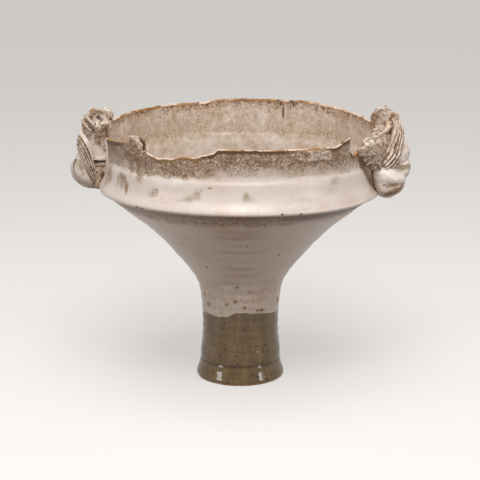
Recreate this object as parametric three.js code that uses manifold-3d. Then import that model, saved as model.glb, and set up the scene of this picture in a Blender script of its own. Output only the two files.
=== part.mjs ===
// A footed stoneware bowl: a turned foot ring, a hollow stem, a thrown funnel and a thrown collar, with
// torn strips of clay stood on the collar as its rim, and a lug of pressed clay wads on each side.
// Millimetres, +Z up, the front is -Y, and the origin is the centre of the foot's underside.
import * as THREE from "three";
import { mergeVertices } from "three/addons/utils/BufferGeometryUtils.js";
import Module from "manifold-3d";

const wasm = await Module();
wasm.setup();

// Heights of the thrown sections, each standing on the one below, and of the highest tear above them
const FOOT_HEIGHT = 17.6;
const STEM_HEIGHT = 72.4;
const FUNNEL_HEIGHT = 91;
const COLLAR_HEIGHT = 28;
const RIM_RISE = 36.6;

// Outer radii
const FOOT_RADIUS = 41.2;
const GROOVE_RADIUS = 36.9;
const STEM_RADIUS = 35.4;
const NECK_RADIUS = 39.2;
const SHOULDER_RADIUS = 130;
const RIM_RADIUS = 122.5;

// Thicknesses of the clay
const FOOT_WALL = 7;
const STEM_WALL = 6;
const FUNNEL_WALL = 6.5;
const FUNNEL_FLOOR = 8;
const COLLAR_WALL = 6;
const BEAD_WALL = 11.3;
const STRIP_THICKNESS = 3.4;
const RIM_THICKNESS = 2.2;
const BEAD_OVERHANG = 2.6;
const WAIST_DEPTH = 1.3;

// Pieces that are pressed on keep this space to what they touch
const CLEARANCE = 0.3;

// How far in from the wall the room is kept free of pressed pieces
const INNER_ROOM = 30;

// How deep a spread mass starts inside the wall before it is cut to lie on it
const SINK = 2;

// Levels and radii that follow from the sizes above
const GROOVE_Z = FOOT_HEIGHT;
const NECK_Z = GROOVE_Z + STEM_HEIGHT;
const SHOULDER_Z = NECK_Z + FUNNEL_HEIGHT;
const COLLAR_Z = SHOULDER_Z + COLLAR_HEIGHT;
const MOUTH_RADIUS = SHOULDER_RADIUS - BEAD_OVERHANG;
const WAIST_RADIUS = RIM_RADIUS - WAIST_DEPTH;

// Steps in a full turn of the small and large sections
const SMALL_ROUND = 40;
const LARGE_ROUND = 64;

const white = new THREE.MeshStandardMaterial({ color: 0xd8cbb9, roughness: 0.35, metalness: 0 });
const olive = new THREE.MeshStandardMaterial({ color: 0x6b5a3c, roughness: 0.25, metalness: 0 });
const torn = new THREE.MeshStandardMaterial({ color: 0xb8906a, roughness: 0.55, metalness: 0 });

const vessel = new THREE.Group();

function place(name, geometry, material) {
  geometry.computeVertexNormals();
  const mesh = new THREE.Mesh(geometry, material);
  mesh.name = name;
  vessel.add(mesh);
}

const mix = THREE.MathUtils.lerp;
const radians = THREE.MathUtils.degToRad;

// A point on the wall: the angle runs from the front round to the right, in degrees
function onWall(angle, radius, z) {
  const a = radians(angle);
  return new THREE.Vector3(radius * Math.sin(a), -radius * Math.cos(a), z);
}

// A full turn of a profile of [radius, z] points
function turned(profile, steps) {
  const points = profile.map(([r, z]) => new THREE.Vector2(r, z));
  return new THREE.LatheGeometry(points, steps).rotateX(Math.PI / 2);
}

// One closed body through rings of points with equal counts, with a point or a flat fan at each end
function loft(rings, poles = [rings[0], rings.at(-1)].map(middle)) {
  const count = rings[0].length;
  const points = [...rings.flat(), ...poles];
  const top = (rings.length - 1) * count;
  const [first, last] = [rings.length * count, rings.length * count + 1];
  const faces = [];
  for (let j = 0; j < count; j += 1) {
    const k = (j + 1) % count;
    for (let here = 0; here < top; here += count) {
      const next = here + count;
      faces.push([here + j, next + j, next + k], [here + j, next + k, here + k]);
    }
    faces.push([first, j, k], [last, top + k, top + j]);
  }
  const volume = faces.reduce((sum, [a, b, c]) => sum + signedVolume(points[a], points[b], points[c]), 0);
  const outward = volume > 0 ? faces : faces.map(([a, b, c]) => [a, c, b]);
  return new THREE.BufferGeometry().setFromPoints(points).setIndex(outward.flat());
}

function signedVolume(a, b, c) {
  return a.dot(new THREE.Vector3().crossVectors(b, c)) / 6;
}

function middle(ring) {
  return ring.reduce((sum, p) => sum.add(p), new THREE.Vector3()).divideScalar(ring.length);
}

// A geometry as a solid that can be cut, and back
function toSolid(geometry) {
  const bare = new THREE.BufferGeometry();
  bare.setAttribute("position", geometry.getAttribute("position"));
  bare.setIndex(geometry.index);
  const merged = mergeVertices(bare, 1e-4);
  return new wasm.Manifold(
    new wasm.Mesh({
      numProp: 3,
      vertProperties: merged.getAttribute("position").array,
      triVerts: new Uint32Array(merged.index.array),
    }),
  );
}

// The geometry of a cut solid without any crumb that the cut left beside it
function toGeometry(solid) {
  const whole = solid.decompose().reduce((best, body) => (body.volume() > best.volume() ? body : best));
  const mesh = whole.getMesh();
  const geometry = new THREE.BufferGeometry();
  geometry.setAttribute("position", new THREE.BufferAttribute(new Float32Array(mesh.vertProperties), 3));
  geometry.setIndex([...mesh.triVerts]);
  return geometry;
}

// Height of a tear at an angle, straight between its rows
function heightAt(tear, angle) {
  const next = tear.findIndex(([a]) => a >= angle);
  if (next <= 0) return RIM_RISE * tear.at(next)[1];
  const [a0, rise0] = tear[next - 1];
  const [a1, rise1] = tear[next];
  return RIM_RISE * mix(rise0, rise1, (angle - a0) / (a1 - a0));
}

// Radius of the wall at a height from the collar's top, below which it leans out to the bead
function wallRadius(up) {
  const down = THREE.MathUtils.clamp(-up / COLLAR_HEIGHT, 0, 1);
  return mix(RIM_RADIUS, SHOULDER_RADIUS, down);
}

// Foot ring: the toe is rounded under, and the side draws in to the groove under the stem
function footRing() {
  const inner = GROOVE_RADIUS - FOOT_WALL + 1;
  return turned(
    [
      [FOOT_RADIUS - FOOT_WALL, 0],
      [FOOT_RADIUS - 1, 0],
      [FOOT_RADIUS, FOOT_HEIGHT * 0.17],
      [mix(GROOVE_RADIUS, FOOT_RADIUS, 0.7), FOOT_HEIGHT * 0.4],
      [mix(GROOVE_RADIUS, FOOT_RADIUS, 0.3), FOOT_HEIGHT * 0.68],
      [mix(GROOVE_RADIUS, FOOT_RADIUS, 0.2), FOOT_HEIGHT * 0.93],
      [GROOVE_RADIUS, GROOVE_Z],
      [inner, GROOVE_Z],
      [mix(inner, FOOT_RADIUS - FOOT_WALL, 0.5), FOOT_HEIGHT * 0.4],
      [FOOT_RADIUS - FOOT_WALL, 0],
    ],
    SMALL_ROUND,
  );
}

// Stem: a thrown tube with a slight waist, swelling to the neck. Its rows are [share of height, outer radius]
function stem() {
  const outer = [
    [0, GROOVE_RADIUS],
    [0.02, GROOVE_RADIUS + 0.4],
    [0.1, GROOVE_RADIUS],
    [0.23, mix(STEM_RADIUS, GROOVE_RADIUS, 0.45)],
    [0.4, STEM_RADIUS],
    [0.7, mix(STEM_RADIUS, NECK_RADIUS, 0.13)],
    [0.85, mix(STEM_RADIUS, NECK_RADIUS, 0.42)],
    [1, NECK_RADIUS],
  ];
  const inner = [1, 0.7, 0.4, 0].map((share) => {
    const base = share > 0.4 ? mix(STEM_RADIUS, NECK_RADIUS, (share - 0.4) / 0.6) : STEM_RADIUS;
    return [share, base - STEM_WALL];
  });
  const profile = [...outer, ...inner, outer[0]];
  return turned(
    profile.map(([share, r]) => [r, GROOVE_Z + share * STEM_HEIGHT]),
    SMALL_ROUND,
  );
}

// The funnel's side as shares of its height and of its growth in radius
const FUNNEL_SIDE = new THREE.SplineCurve(
  [
    [0, 0],
    [0.11, 0.056],
    [0.33, 0.238],
    [0.55, 0.444],
    [0.66, 0.563],
    [0.81, 0.766],
    [1, 1],
  ].map(([up, out]) => new THREE.Vector2(up, out)),
);

function funnelPoint(along) {
  const share = FUNNEL_SIDE.getPoint(along);
  return [mix(NECK_RADIUS, MOUTH_RADIUS, share.y), NECK_Z + share.x * FUNNEL_HEIGHT];
}

// Inside of the funnel's wall at the same height, measured square through the wall
function funnelInside(along) {
  const [r, z] = funnelPoint(along);
  const run = FUNNEL_SIDE.getTangent(along);
  const slope = (run.y * (MOUTH_RADIUS - NECK_RADIUS)) / (run.x * FUNNEL_HEIGHT);
  return [r - FUNNEL_WALL * Math.hypot(1, slope), z];
}

// Funnel: the thrown bowl, whose flat underside closes the top of the stem
function funnel(grow = 0) {
  const steps = 12;
  const outer = [];
  const inner = [];
  for (let i = 0; i <= steps; i += 1) {
    const [r, z] = funnelPoint(i / steps);
    outer.push([r + grow, z]);
    const inside = funnelInside(i / steps);
    if (inside[1] > NECK_Z + FUNNEL_FLOOR + 3) inner.unshift(inside);
  }
  const floorZ = NECK_Z + FUNNEL_FLOOR;
  const basin = inner.at(-1)[0];
  const floor = [
    [basin * 0.82, floorZ + 2],
    [basin * 0.5, floorZ + 0.4],
    [0, floorZ],
  ];
  return turned([[0, NECK_Z], ...outer, ...inner, ...floor], LARGE_ROUND);
}

// Collar: a bead over the funnel's edge, a hollow side and the waist that the torn strips stand on.
// Its rows are [share of height, share of the way out from the waist to the bead]
const COLLAR_SIDE = [
  [0.06, 1],
  [0.14, 0.92],
  [0.25, 0.68],
  [0.39, 0.47],
  [0.61, 0.29],
  [0.82, 0.2],
  [0.93, 0.07],
  [1, 0],
];

function collar(grow = 0) {
  const outer = COLLAR_SIDE.map(([up, out]) => [
    mix(WAIST_RADIUS, SHOULDER_RADIUS, out) + grow,
    SHOULDER_Z + up * COLLAR_HEIGHT,
  ]);
  const inner = [
    [WAIST_RADIUS - COLLAR_WALL, COLLAR_Z],
    [mix(WAIST_RADIUS, SHOULDER_RADIUS, 0.1) - COLLAR_WALL, SHOULDER_Z + 0.6 * COLLAR_HEIGHT],
    [SHOULDER_RADIUS - BEAD_WALL, SHOULDER_Z],
  ];
  const under = [[mix(MOUTH_RADIUS, SHOULDER_RADIUS, 0.3) + grow, SHOULDER_Z]];
  return turned([...under, ...outer, ...inner, ...under], LARGE_ROUND);
}

// The torn strips that make the rim. Rows are [angle in degrees, share of the rim's rise], chosen to
// follow the tears: the left strip, the front one with its spike, and the back one with the notch
const TEARS = {
  left: [
    [-86, 0.574],
    [-75, 0.579],
    [-68, 0.615],
    [-59, 0.669],
    [-51, 0.697],
    [-46, 0.702],
  ],
  front: [
    [-46, 0.56],
    [-41, 0.546],
    [-39, 0.505],
    [-35, 0.437],
    [-29, 0.464],
    [-24, 0.533],
    [-17, 0.533],
    [-11, 0.656],
    [-9, 0.765],
    [6, 0.751],
    [18, 0.71],
    [38, 0.691],
    [42, 0.656],
    [47, 0.765],
    [50.6, 0.833],
  ],
  back: [
    [50.6, 0.533],
    [52.5, 0.41],
    [54.5, 0.355],
    [57.5, 0.478],
    [61, 0.56],
    [66, 0.642],
    [91, 0.779],
    [106, 0.82],
    [121, 0.888],
    [135, 0.937],
    [148, 1],
    [158, 0.984],
    [186, 0.984],
    [194, 0.959],
    [197, 0.915],
    [214, 0.929],
    [240, 0.874],
    [258, 0.82],
    [274, 0.806],
  ],
};

// How a strip's side leans out from the waist, as [share of height, share of the lean]
const STRIP_SIDE = [
  [0, 0],
  [0.25, 0.6],
  [0.6, 1],
  [1, 1],
];

function strip(tear, grow = 0, depth = 0) {
  const gap = THREE.MathUtils.radToDeg((CLEARANCE / 2 - grow) / RIM_RADIUS);
  const first = tear[0][0] + gap;
  const last = tear.at(-1)[0] - gap;
  const angles = tear.map(([angle]) => angle).filter((angle) => angle > first && angle < last);
  for (let angle = Math.ceil(first / 5) * 5; angle < last; angle += 5) {
    if (angles.every((a) => Math.abs(a - angle) > 2)) angles.push(angle);
  }
  const turns = [first, ...angles, last].sort((a, b) => a - b);
  const rings = turns.map((angle) => {
    const height = heightAt(tear, angle) + grow;
    const outer = STRIP_SIDE.map(([up, out]) =>
      onWall(angle, mix(WAIST_RADIUS, RIM_RADIUS, out) + grow, COLLAR_Z + up * height),
    );
    const inner = STRIP_SIDE.map(([up, out]) => {
      const thickness = mix(STRIP_THICKNESS, RIM_THICKNESS, up) + grow + depth;
      return onWall(angle, mix(WAIST_RADIUS, RIM_RADIUS, out) - thickness, COLLAR_Z + up * height);
    });
    return [...outer, ...inner.reverse()];
  });
  return loft(rings);
}

// A sheet pressed on the outside of the wall. Rows are [angle, lower edge, upper edge], in shares of the
// rim's rise
function pressedSheet({ rows, thickness }, grow = 0) {
  const near = RIM_RADIUS + CLEARANCE - grow;
  const far = near + thickness + 2 * grow;
  const rings = rows.map(([angle, low, high]) => [
    onWall(angle, near, COLLAR_Z + low * RIM_RISE - grow),
    onWall(angle, far, COLLAR_Z + low * RIM_RISE - grow + thickness / 2),
    onWall(angle, far, COLLAR_Z + high * RIM_RISE + grow - thickness / 2),
    onWall(angle, near, COLLAR_Z + high * RIM_RISE + grow),
  ]);
  return loft(rings);
}

// A kneaded lump of clay: an ellipsoid with hollows and swellings, turned by degrees about X, Y and Z
function wad({ at, half, turn = [0, 0, 0], knead = 0.06, seed = 1 }, grow = 0) {
  const lean = new THREE.Euler(...turn.map(radians));
  const bands = 8;
  const sides = 14;
  const size = new THREE.Vector3(...half).addScalar(grow);
  const put = (unit) => {
    const { x, y, z } = unit;
    const hollow = Math.sin(3 * x + 2 * seed) * Math.cos(4 * y + seed);
    const swell = 0.6 * Math.sin(5 * z + 3 * seed + 2 * x);
    const reach = 1 + knead * (hollow + swell);
    return unit.clone().multiply(size).multiplyScalar(reach).applyEuler(lean).add(at);
  };
  const rings = [];
  for (let i = 1; i < bands; i += 1) {
    const up = (i / bands - 0.5) * Math.PI;
    const ring = [];
    for (let j = 0; j < sides; j += 1) {
      const a = (j / sides) * 2 * Math.PI;
      ring.push(put(new THREE.Vector3(Math.cos(up) * Math.cos(a), Math.cos(up) * Math.sin(a), Math.sin(up))));
    }
    rings.push(ring);
  }
  const poles = [put(new THREE.Vector3(0, 0, -1)), put(new THREE.Vector3(0, 0, 1))];
  return loft(rings, poles);
}

// A strap or roll of clay along a curve. Its outer side faces a given way and can carry combed ridges
function strap({ path, widths, depth, faces, ridges = 0, comb = 0 }, grow = 0) {
  const curve = new THREE.CatmullRomCurve3(path);
  const length = curve.getLength();
  const stations = 9;
  const across = Math.max(4, ridges * 4);
  const rings = [];
  for (let i = 0; i <= stations; i += 1) {
    const t = i / stations;
    const run = curve.getTangentAt(t);
    const out = faces.clone().addScaledVector(run, -faces.dot(run)).normalize();
    const side = new THREE.Vector3().crossVectors(run, out);
    const past = (t - 0.5) * 2 * grow;
    const centre = curve.getPointAt(t).addScaledVector(run, past * Math.min(1, length));
    const half = mix(widths[0], widths[1], t) / 2 + grow;
    const ring = [];
    for (let j = 0; j <= across; j += 1) {
      const u = (j / across) * 2 - 1;
      const crown = depth * Math.sqrt(1 - 0.75 * u * u);
      const groove = (comb * (1 + Math.cos(u * ridges * Math.PI))) / 2;
      const height = crown - groove + grow;
      ring.push(centre.clone().addScaledVector(side, u * half).addScaledVector(out, height));
    }
    for (const u of [0.8, 0, -0.8]) {
      ring.push(centre.clone().addScaledVector(side, u * half).addScaledVector(out, -depth - grow));
    }
    rings.push(ring);
  }
  return loft(rings);
}

// A torn sheet standing on edge. Rows are [out, along, foot, top, lean] from the lug's root: where it
// stands, its lower and upper edge, and how far its top leans out
function standingSheet({ root, rows, thickness }, grow = 0) {
  const plan = rows.map(([out, along]) => root(out, along, 0));
  const rings = rows.map(([, , foot, top, lean], i) => {
    const before = plan[Math.max(0, i - 1)];
    const after = plan[Math.min(plan.length - 1, i + 1)];
    const run = after.clone().sub(before).setZ(0).normalize();
    const square = new THREE.Vector3(-run.y, run.x, 0);
    const ends = i === 0 ? -grow : i === plan.length - 1 ? grow : 0;
    const [out, along] = rows[i];
    const level = (up, share, side) => {
      const height = mix(foot - grow, top + grow, up);
      const half = (thickness / 2) * share + grow;
      const p = root(out + lean * up * up, along, height);
      return p.addScaledVector(square, side * half).addScaledVector(run, ends);
    };
    const face = (side) => [level(0, 1, side), level(0.55, 1, side), level(1, 0.5, side)];
    return [...face(1), ...face(-1).reverse()];
  });
  return loft(rings);
}

// A lump with a hand-drawn outline, as [out, up] from the lug's root, and rounded faces before and behind
function pillow({ root, outline, along, depth }, grow = 0) {
  const edge = new THREE.CatmullRomCurve3(outline.map(([out, up]) => root(out, along, up)), true);
  const rim = edge.getPoints(18).slice(1);
  const centre = middle(rim);
  const bands = 8;
  const rings = [];
  for (let i = 1; i < bands; i += 1) {
    const turn = (i / bands - 0.5) * Math.PI;
    const reach = Math.cos(turn) ** 0.8;
    const ring = rim.map((p) => {
      const spoke = p.clone().sub(centre);
      const length = spoke.length() + grow;
      return spoke.setLength(length * reach).add(centre);
    });
    rings.push(ring.map((p) => p.setY(centre.y + Math.sin(turn) * (depth + grow))));
  }
  const poles = [-1, 1].map((side) => centre.clone().setY(centre.y + side * (depth + grow)));
  return loft(rings, poles);
}

// A mass of clay spread on the leaning wall. Rows are [angle, low, high, thickness], with heights above
// the collar
function spread(rows, grow = 0) {
  const rings = rows.map(([angle, low, high, thickness], i) => {
    const end = i === 0 ? -1 : i === rows.length - 1 ? 1 : 0;
    const turn = angle + end * THREE.MathUtils.radToDeg(grow / RIM_RADIUS);
    const tall = high - low + 2 * grow;
    const at = (out, up) => {
      const reach = out * (thickness + grow) - (out > 0 ? 0 : SINK);
      const height = low - grow + up * tall;
      return onWall(turn, wallRadius(height) + reach, COLLAR_Z + height);
    };
    return [at(0, 0), at(0.75, 0.1), at(1, 0.4), at(0.9, 0.75), at(0.5, 1), at(0, 1)];
  });
  return loft(rings);
}

// Lugs are laid out from a root on the leaning wall: out from the wall, along +Y, up from the collar
const leftRoot = (out, along, up) => new THREE.Vector3(-wallRadius(up) - out, along, COLLAR_Z + up);
const rightRoot = (out, along, up) => new THREE.Vector3(wallRadius(up) + out, along, COLLAR_Z + up);

// Left lug, seen from its side: a core with a pad low on the outside, a combed strap, a plain roll, and a
// torn crown that leans over the rim
const LEFT_CORE = [
  [22, 24],
  [11, 27],
  [-3, 27],
  [-3, 12],
  [-4.6, -6],
  [-4.2, -23],
  [3.5, -32],
  [13.5, -29],
  [24, -15],
  [26, 4],
  [25, 17],
];
const LEFT_PAD = [
  [20.5, 1],
  [12, -13],
  [7.9, -24.5],
  [11, -32],
  [19.5, -28],
  [26.5, -20.5],
  [31.3, -12],
  [31, -5.5],
  [27.9, -0.5],
];
const LEFT_FOLD = [
  [20.2, -3],
  [10.7, -16],
  [9, -34],
  [18, -33],
  [24.9, -26.5],
  [30.9, -19],
  [33.8, -12],
  [32, -5.5],
];
const LEFT_TIP = [
  [6.1, -7],
  [0.6, -7],
  [0.3, -15.5],
  [2, -29],
  [5.8, -27],
  [8.8, -15.5],
];
const LEFT_CROWN = [
  [23.5, 10, 22, 30, 1],
  [20, 8, 26, 36.5, 1],
  [15, 14, 23, 42, 0],
  [8.5, 8, 22, 40, 0],
  [4, 14, 22, 45.5, 0],
  [-0.5, 8, 24, 43, 0],
  [-4, 12, 26, 34.5, 0],
];

const leftLug = {
  left_lug_core: (grow) => pillow({ root: leftRoot, outline: LEFT_CORE, along: 15, depth: 13 }, grow),
  left_lug_pad: (grow) => pillow({ root: leftRoot, outline: LEFT_PAD, along: 8, depth: 12 }, grow),
  left_lug_strap: (grow) =>
    strap(
      {
        path: [leftRoot(23.5, 6, 16), leftRoot(20, 1, 7), leftRoot(15.2, -1, -3), leftRoot(6.4, 0, -21)],
        widths: [15, 7],
        depth: 4,
        faces: new THREE.Vector3(-0.5, -0.85, 0.15),
        ridges: 5,
        comb: 1.4,
      },
      grow,
    ),
  left_lug_roll: (grow) =>
    strap(
      {
        path: [leftRoot(22.5, 4, 25), leftRoot(17.5, 1, 18), leftRoot(13.5, -1, 9), leftRoot(10.2, 0, -3)],
        widths: [7, 8],
        depth: 4,
        faces: new THREE.Vector3(-0.3, -0.9, 0.2),
      },
      grow,
    ),
  left_lug_lip: (grow) =>
    wad({ at: leftRoot(4.2, 2, -3), half: [5.5, 6, 1.8], knead: 0.03, seed: 2 }, grow),
  left_lug_tip: (grow) => pillow({ root: leftRoot, outline: LEFT_TIP, along: 4, depth: 5 }, grow),
  left_lug_crown: (grow) => standingSheet({ root: leftRoot, rows: LEFT_CROWN, thickness: 4.5 }, grow),
  left_lug_fold: (grow) => pillow({ root: leftRoot, outline: LEFT_FOLD, along: 18, depth: 6 }, grow),
};

// Right lug, seen from its front: a mass spread from the notch round the wall, an upright folded leaf, a
// folded lip, a combed strap, two side knobs and a heavy drop at the bottom
const RIGHT_BODY = [
  [56.5, 14, 17, 1.5],
  [59, 8, 21, 4],
  [63, -1, 24, 8],
  [68, -11, 26, 12],
  [74, -17, 27, 17],
  [80, -17, 28, 21],
  [86, -13, 27, 22],
  [92, -6, 24, 19],
  [98, 2, 19, 11],
  [101, 6, 15, 3],
];
const RIGHT_LEAF = [
  [-3, 4, 22, 38.5, 0],
  [-1, 6, 20, 42, 0],
  [5, 8, 18, 44.5, 0],
  [10.5, 7, 18, 46.5, 0],
  [15, 2, 18, 43, 0],
  [19, -4, 18, 39.5, 0],
  [21, -10, 16, 33, 1],
  [21.5, -16, 14, 25, 1],
];
const RIGHT_DROP = [
  [-5.8, -12.5],
  [1.1, -7],
  [10.7, -5],
  [18.7, -8.5],
  [22.8, -14],
  [19, -22.5],
  [11.5, -29],
  [2.5, -33],
  [-5, -30.5],
  [-8, -22.5],
];
const RIGHT_LOWER_KNOB = [
  [18.1, -1.5],
  [26.5, 1],
  [30.3, -2.5],
  [30.4, -8],
  [25.9, -13.5],
  [17.9, -13.5],
  [14.6, -9],
];
const RIGHT_UPPER_KNOB = [
  [23, 15.5],
  [26.5, 14.5],
  [30, 9],
  [31, 3.5],
  [27.7, -1],
  [22, 1.5],
];

const rightLug = {
  right_lug_body: (grow) => spread(RIGHT_BODY, grow),
  right_lug_leaf: (grow) => standingSheet({ root: rightRoot, rows: RIGHT_LEAF, thickness: 4.5 }, grow),
  right_lug_drop: (grow) => pillow({ root: rightRoot, outline: RIGHT_DROP, along: -31, depth: 15 }, grow),
  right_lug_lower_knob: (grow) =>
    pillow({ root: rightRoot, outline: RIGHT_LOWER_KNOB, along: -19, depth: 9 }, grow),
  right_lug_upper_knob: (grow) =>
    pillow({ root: rightRoot, outline: RIGHT_UPPER_KNOB, along: -17, depth: 9 }, grow),
  right_lug_strap: (grow) =>
    strap(
      {
        path: [rightRoot(18, -20, 37), rightRoot(19, -26, 24), rightRoot(12, -35, 10), rightRoot(3.7, -43, -1)],
        widths: [9, 16],
        depth: 4.5,
        faces: new THREE.Vector3(0.5, -0.85, 0.2),
        ridges: 5,
        comb: 1.4,
      },
      grow,
    ),
  right_lug_lip: (grow) =>
    strap(
      {
        path: [rightRoot(-3, -36, 24), rightRoot(3, -29, 25), rightRoot(9, -22, 27), rightRoot(13, -17, 31)],
        widths: [5, 6],
        depth: 3,
        faces: new THREE.Vector3(0.1, -0.7, 0.7),
      },
      grow,
    ),
};

// The thrown sections, from the table up
place("foot_ring", footRing(), olive);
place("stem", stem(), olive);
place("funnel", funnel(), white);
place("collar", collar(), white);

// The torn rim strips, and what is pressed on them
for (const [side, tear] of Object.entries(TEARS)) {
  place(`rim_strip_${side}`, strip(tear), torn);
}
const LAP_ROWS = [
  [-57, 0.505, 0.574],
  [-51, 0.437, 0.683],
  [-46.5, 0.355, 0.689],
  [-43, 0.314, 0.519],
];
const PATCH_ROWS = [
  [23, 0.492, 0.669],
  [29, 0.423, 0.669],
  [34, 0.396, 0.656],
  [38.5, 0.396, 0.615],
];
const LAP = { rows: LAP_ROWS, thickness: 1.5 };
const CURL_UP = 0.683 * RIM_RISE;
place("rim_lap", pressedSheet(LAP), torn);
place("rim_patch", pressedSheet({ rows: PATCH_ROWS, thickness: 2 }), white);

// Pressed pieces are cut to lie against the wall and against the pieces pressed on before them
function press(pieces, walls) {
  const taken = [...walls];
  for (const [name, shape] of Object.entries(pieces)) {
    const lying = taken.reduce((body, other) => body.subtract(other), toSolid(shape(0)));
    place(name, toGeometry(lying), white);
    taken.push(toSolid(shape(CLEARANCE)));
  }
}

// What pressed pieces must stay clear of: the walls, and the room inside them up to the rim
const walls = [
  toSolid(funnel(CLEARANCE)),
  toSolid(collar(CLEARANCE)),
  ...Object.values(TEARS).map((tear) => toSolid(strip(tear, CLEARANCE, INNER_ROOM))),
];
press(leftLug, walls);
press(rightLug, walls);
press(
  {
    rim_curl: (grow) =>
      wad({ at: onWall(-46, RIM_RADIUS - 1.5, COLLAR_Z + CURL_UP), half: [9, 5, 6.5], turn: [0, 12, -46] }, grow),
  },
  [...walls, toSolid(pressedSheet(LAP, CLEARANCE))],
);

export default vessel;
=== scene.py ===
# %% [markdown]
# # A torn-rim stoneware bowl on a tall foot
#
# The bowl is thrown in sections: a foot ring, a hollow stem, a funnel and a collar. Torn strips of clay
# stand on the collar, and a lug of pressed wads sits on each side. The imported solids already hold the
# sizes, so this lesson gives each solid a finer skin in the same place, and a glaze.

# %% Load the frame
import math

import bpy
import numpy as np
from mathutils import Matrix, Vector


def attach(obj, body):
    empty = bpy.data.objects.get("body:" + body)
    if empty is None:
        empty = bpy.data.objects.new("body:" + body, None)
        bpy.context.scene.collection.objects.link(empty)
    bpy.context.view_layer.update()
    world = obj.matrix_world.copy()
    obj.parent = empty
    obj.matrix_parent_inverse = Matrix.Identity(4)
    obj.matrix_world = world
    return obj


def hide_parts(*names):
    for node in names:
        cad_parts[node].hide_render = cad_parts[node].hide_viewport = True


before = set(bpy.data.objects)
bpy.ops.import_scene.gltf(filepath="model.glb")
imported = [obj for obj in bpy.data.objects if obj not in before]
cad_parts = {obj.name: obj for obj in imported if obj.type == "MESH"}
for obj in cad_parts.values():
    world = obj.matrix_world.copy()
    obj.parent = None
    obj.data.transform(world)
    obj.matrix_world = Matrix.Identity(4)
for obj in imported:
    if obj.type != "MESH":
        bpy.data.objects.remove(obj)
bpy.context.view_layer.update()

MM = 0.001


def added(name, data):
    """A new object in the scene, which shows the data."""
    made = bpy.data.objects.new(name, data)
    bpy.context.scene.collection.objects.link(made)
    return made


# %% [markdown]
# ## The camera
#
# The photograph was taken with a long lens, a little above the rim. Its place was found from the
# ellipses of the shoulder, the rim and the foot.

# %% Camera
# Sensor, focal length and place in mm, and the tilt downwards in degrees
SENSOR = 36
FOCAL = 107.6
CAMERA_PITCH = 13.63
CAMERA_PLACE = np.array([-0.37, -1300, 444.9])
camera_data = bpy.data.cameras.new("camera")
camera_data.sensor_width = SENSOR
camera_data.lens = FOCAL
camera = added("camera", camera_data)
camera.location = CAMERA_PLACE * MM
camera.rotation_euler = (math.radians(90 - CAMERA_PITCH), 0, 0)
bpy.context.scene.camera = camera
print("lens", FOCAL, "mm")

# %% [markdown]
# ## Curves and roughness from numbers
#
# Clay has no straight lines, but its curves are known at a few heights or angles. A cubic through those
# rows gives every height between them. The small lumps of clay are value noise: random numbers at the
# corners of a lattice, blended smoothly between the corners, and added up at halving sizes.

# %% A smooth curve through rows
def through(rows, x):
    """Between two rows runs a cubic. Its slope at a row is the harmonic mean of the slopes on both sides,
    and is level where they differ in sign, so the curve never overshoots."""
    xs, ys = np.array(rows, float).T
    step = np.diff(xs)
    slope = np.diff(ys) / step
    before, after = slope[:-1], slope[1:]
    same = before * after > 0
    total = np.where(same, before + after, 1)
    inner = np.where(same, 2 * before * after / total, 0)
    m = np.concatenate([slope[:1], inner, slope[-1:]])
    x = np.clip(x, xs[0], xs[-1])
    i = np.clip(np.searchsorted(xs, x) - 1, 0, len(step) - 1)
    t = (x - xs[i]) / step[i]
    rise = ys[i] * (1 + 2 * t) * (1 - t) ** 2 + ys[i + 1] * t * t * (3 - 2 * t)
    lean = step[i] * (m[i] * t * (1 - t) ** 2 - m[i + 1] * t * t * (1 - t))
    return rise + lean


def ease(low, high, x):
    """0 below low and 1 above high, with the smooth step 3t^2 - 2t^3 between them. Low may be above high."""
    t = np.clip((x - low) / (high - low), 0, 1)
    return t * t * (3 - 2 * t)


def quarter(share):
    """A quarter of a circle: it rises straight up from 0 at 0, and is level at 1."""
    return np.sqrt(1 - (1 - share) ** 2)


def bell(*distances):
    """e to the power of minus the sum of the squared distances: 1 in the middle, and near 0 at 2."""
    return np.exp(-sum(distance**2 for distance in distances))


def turned(angle, middle=0):
    """The angle counted from a middle, between -180 and 180 degrees."""
    return (angle - middle + 180) % 360 - 180


print("a quarter of the way up a step:", ease(0, 4, 1).round(3))


# %% Value noise
def corner(i, j, k, seed):
    """A number from -1 to 1 for each corner of the lattice: its three counts times large odd numbers,
    mixed by shifts and products."""
    n = (i * 374761393 + j * 668265263 + k * 1440662683 + seed * 1274126177) & 0xFFFFFFFF
    n = ((n ^ (n >> 13)) * 1103515245) & 0xFFFFFFFF
    n = (n ^ (n >> 16)) * 668265263 & 0xFFFFFFFF
    return (n ^ (n >> 15)) / 0x7FFFFFFF - 1


def rough(points, size, seed=0, octaves=2):
    """Lumps about size mm across: the eight corners round a point, blended by the smooth step, plus half
    as much of the same at half the size for each further octave."""
    total = np.zeros(points.shape[:-1])
    for octave in range(octaves):
        p = points / size * 2**octave
        low = np.floor(p).astype(np.int64)
        t = p - low
        t = t * t * (3 - 2 * t)
        cell = 0
        for a, b, c in np.ndindex(2, 2, 2):
            share = np.abs(1 - a - t[..., 0]) * np.abs(1 - b - t[..., 1]) * np.abs(1 - c - t[..., 2])
            cell = cell + share * corner(low[..., 0] + a, low[..., 1] + b, low[..., 2] + c, seed + octave)
        total += cell / 2**octave
    return total


print("noise from", rough(np.zeros((1, 3)) + 0.5, 1.0).round(2))
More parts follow.
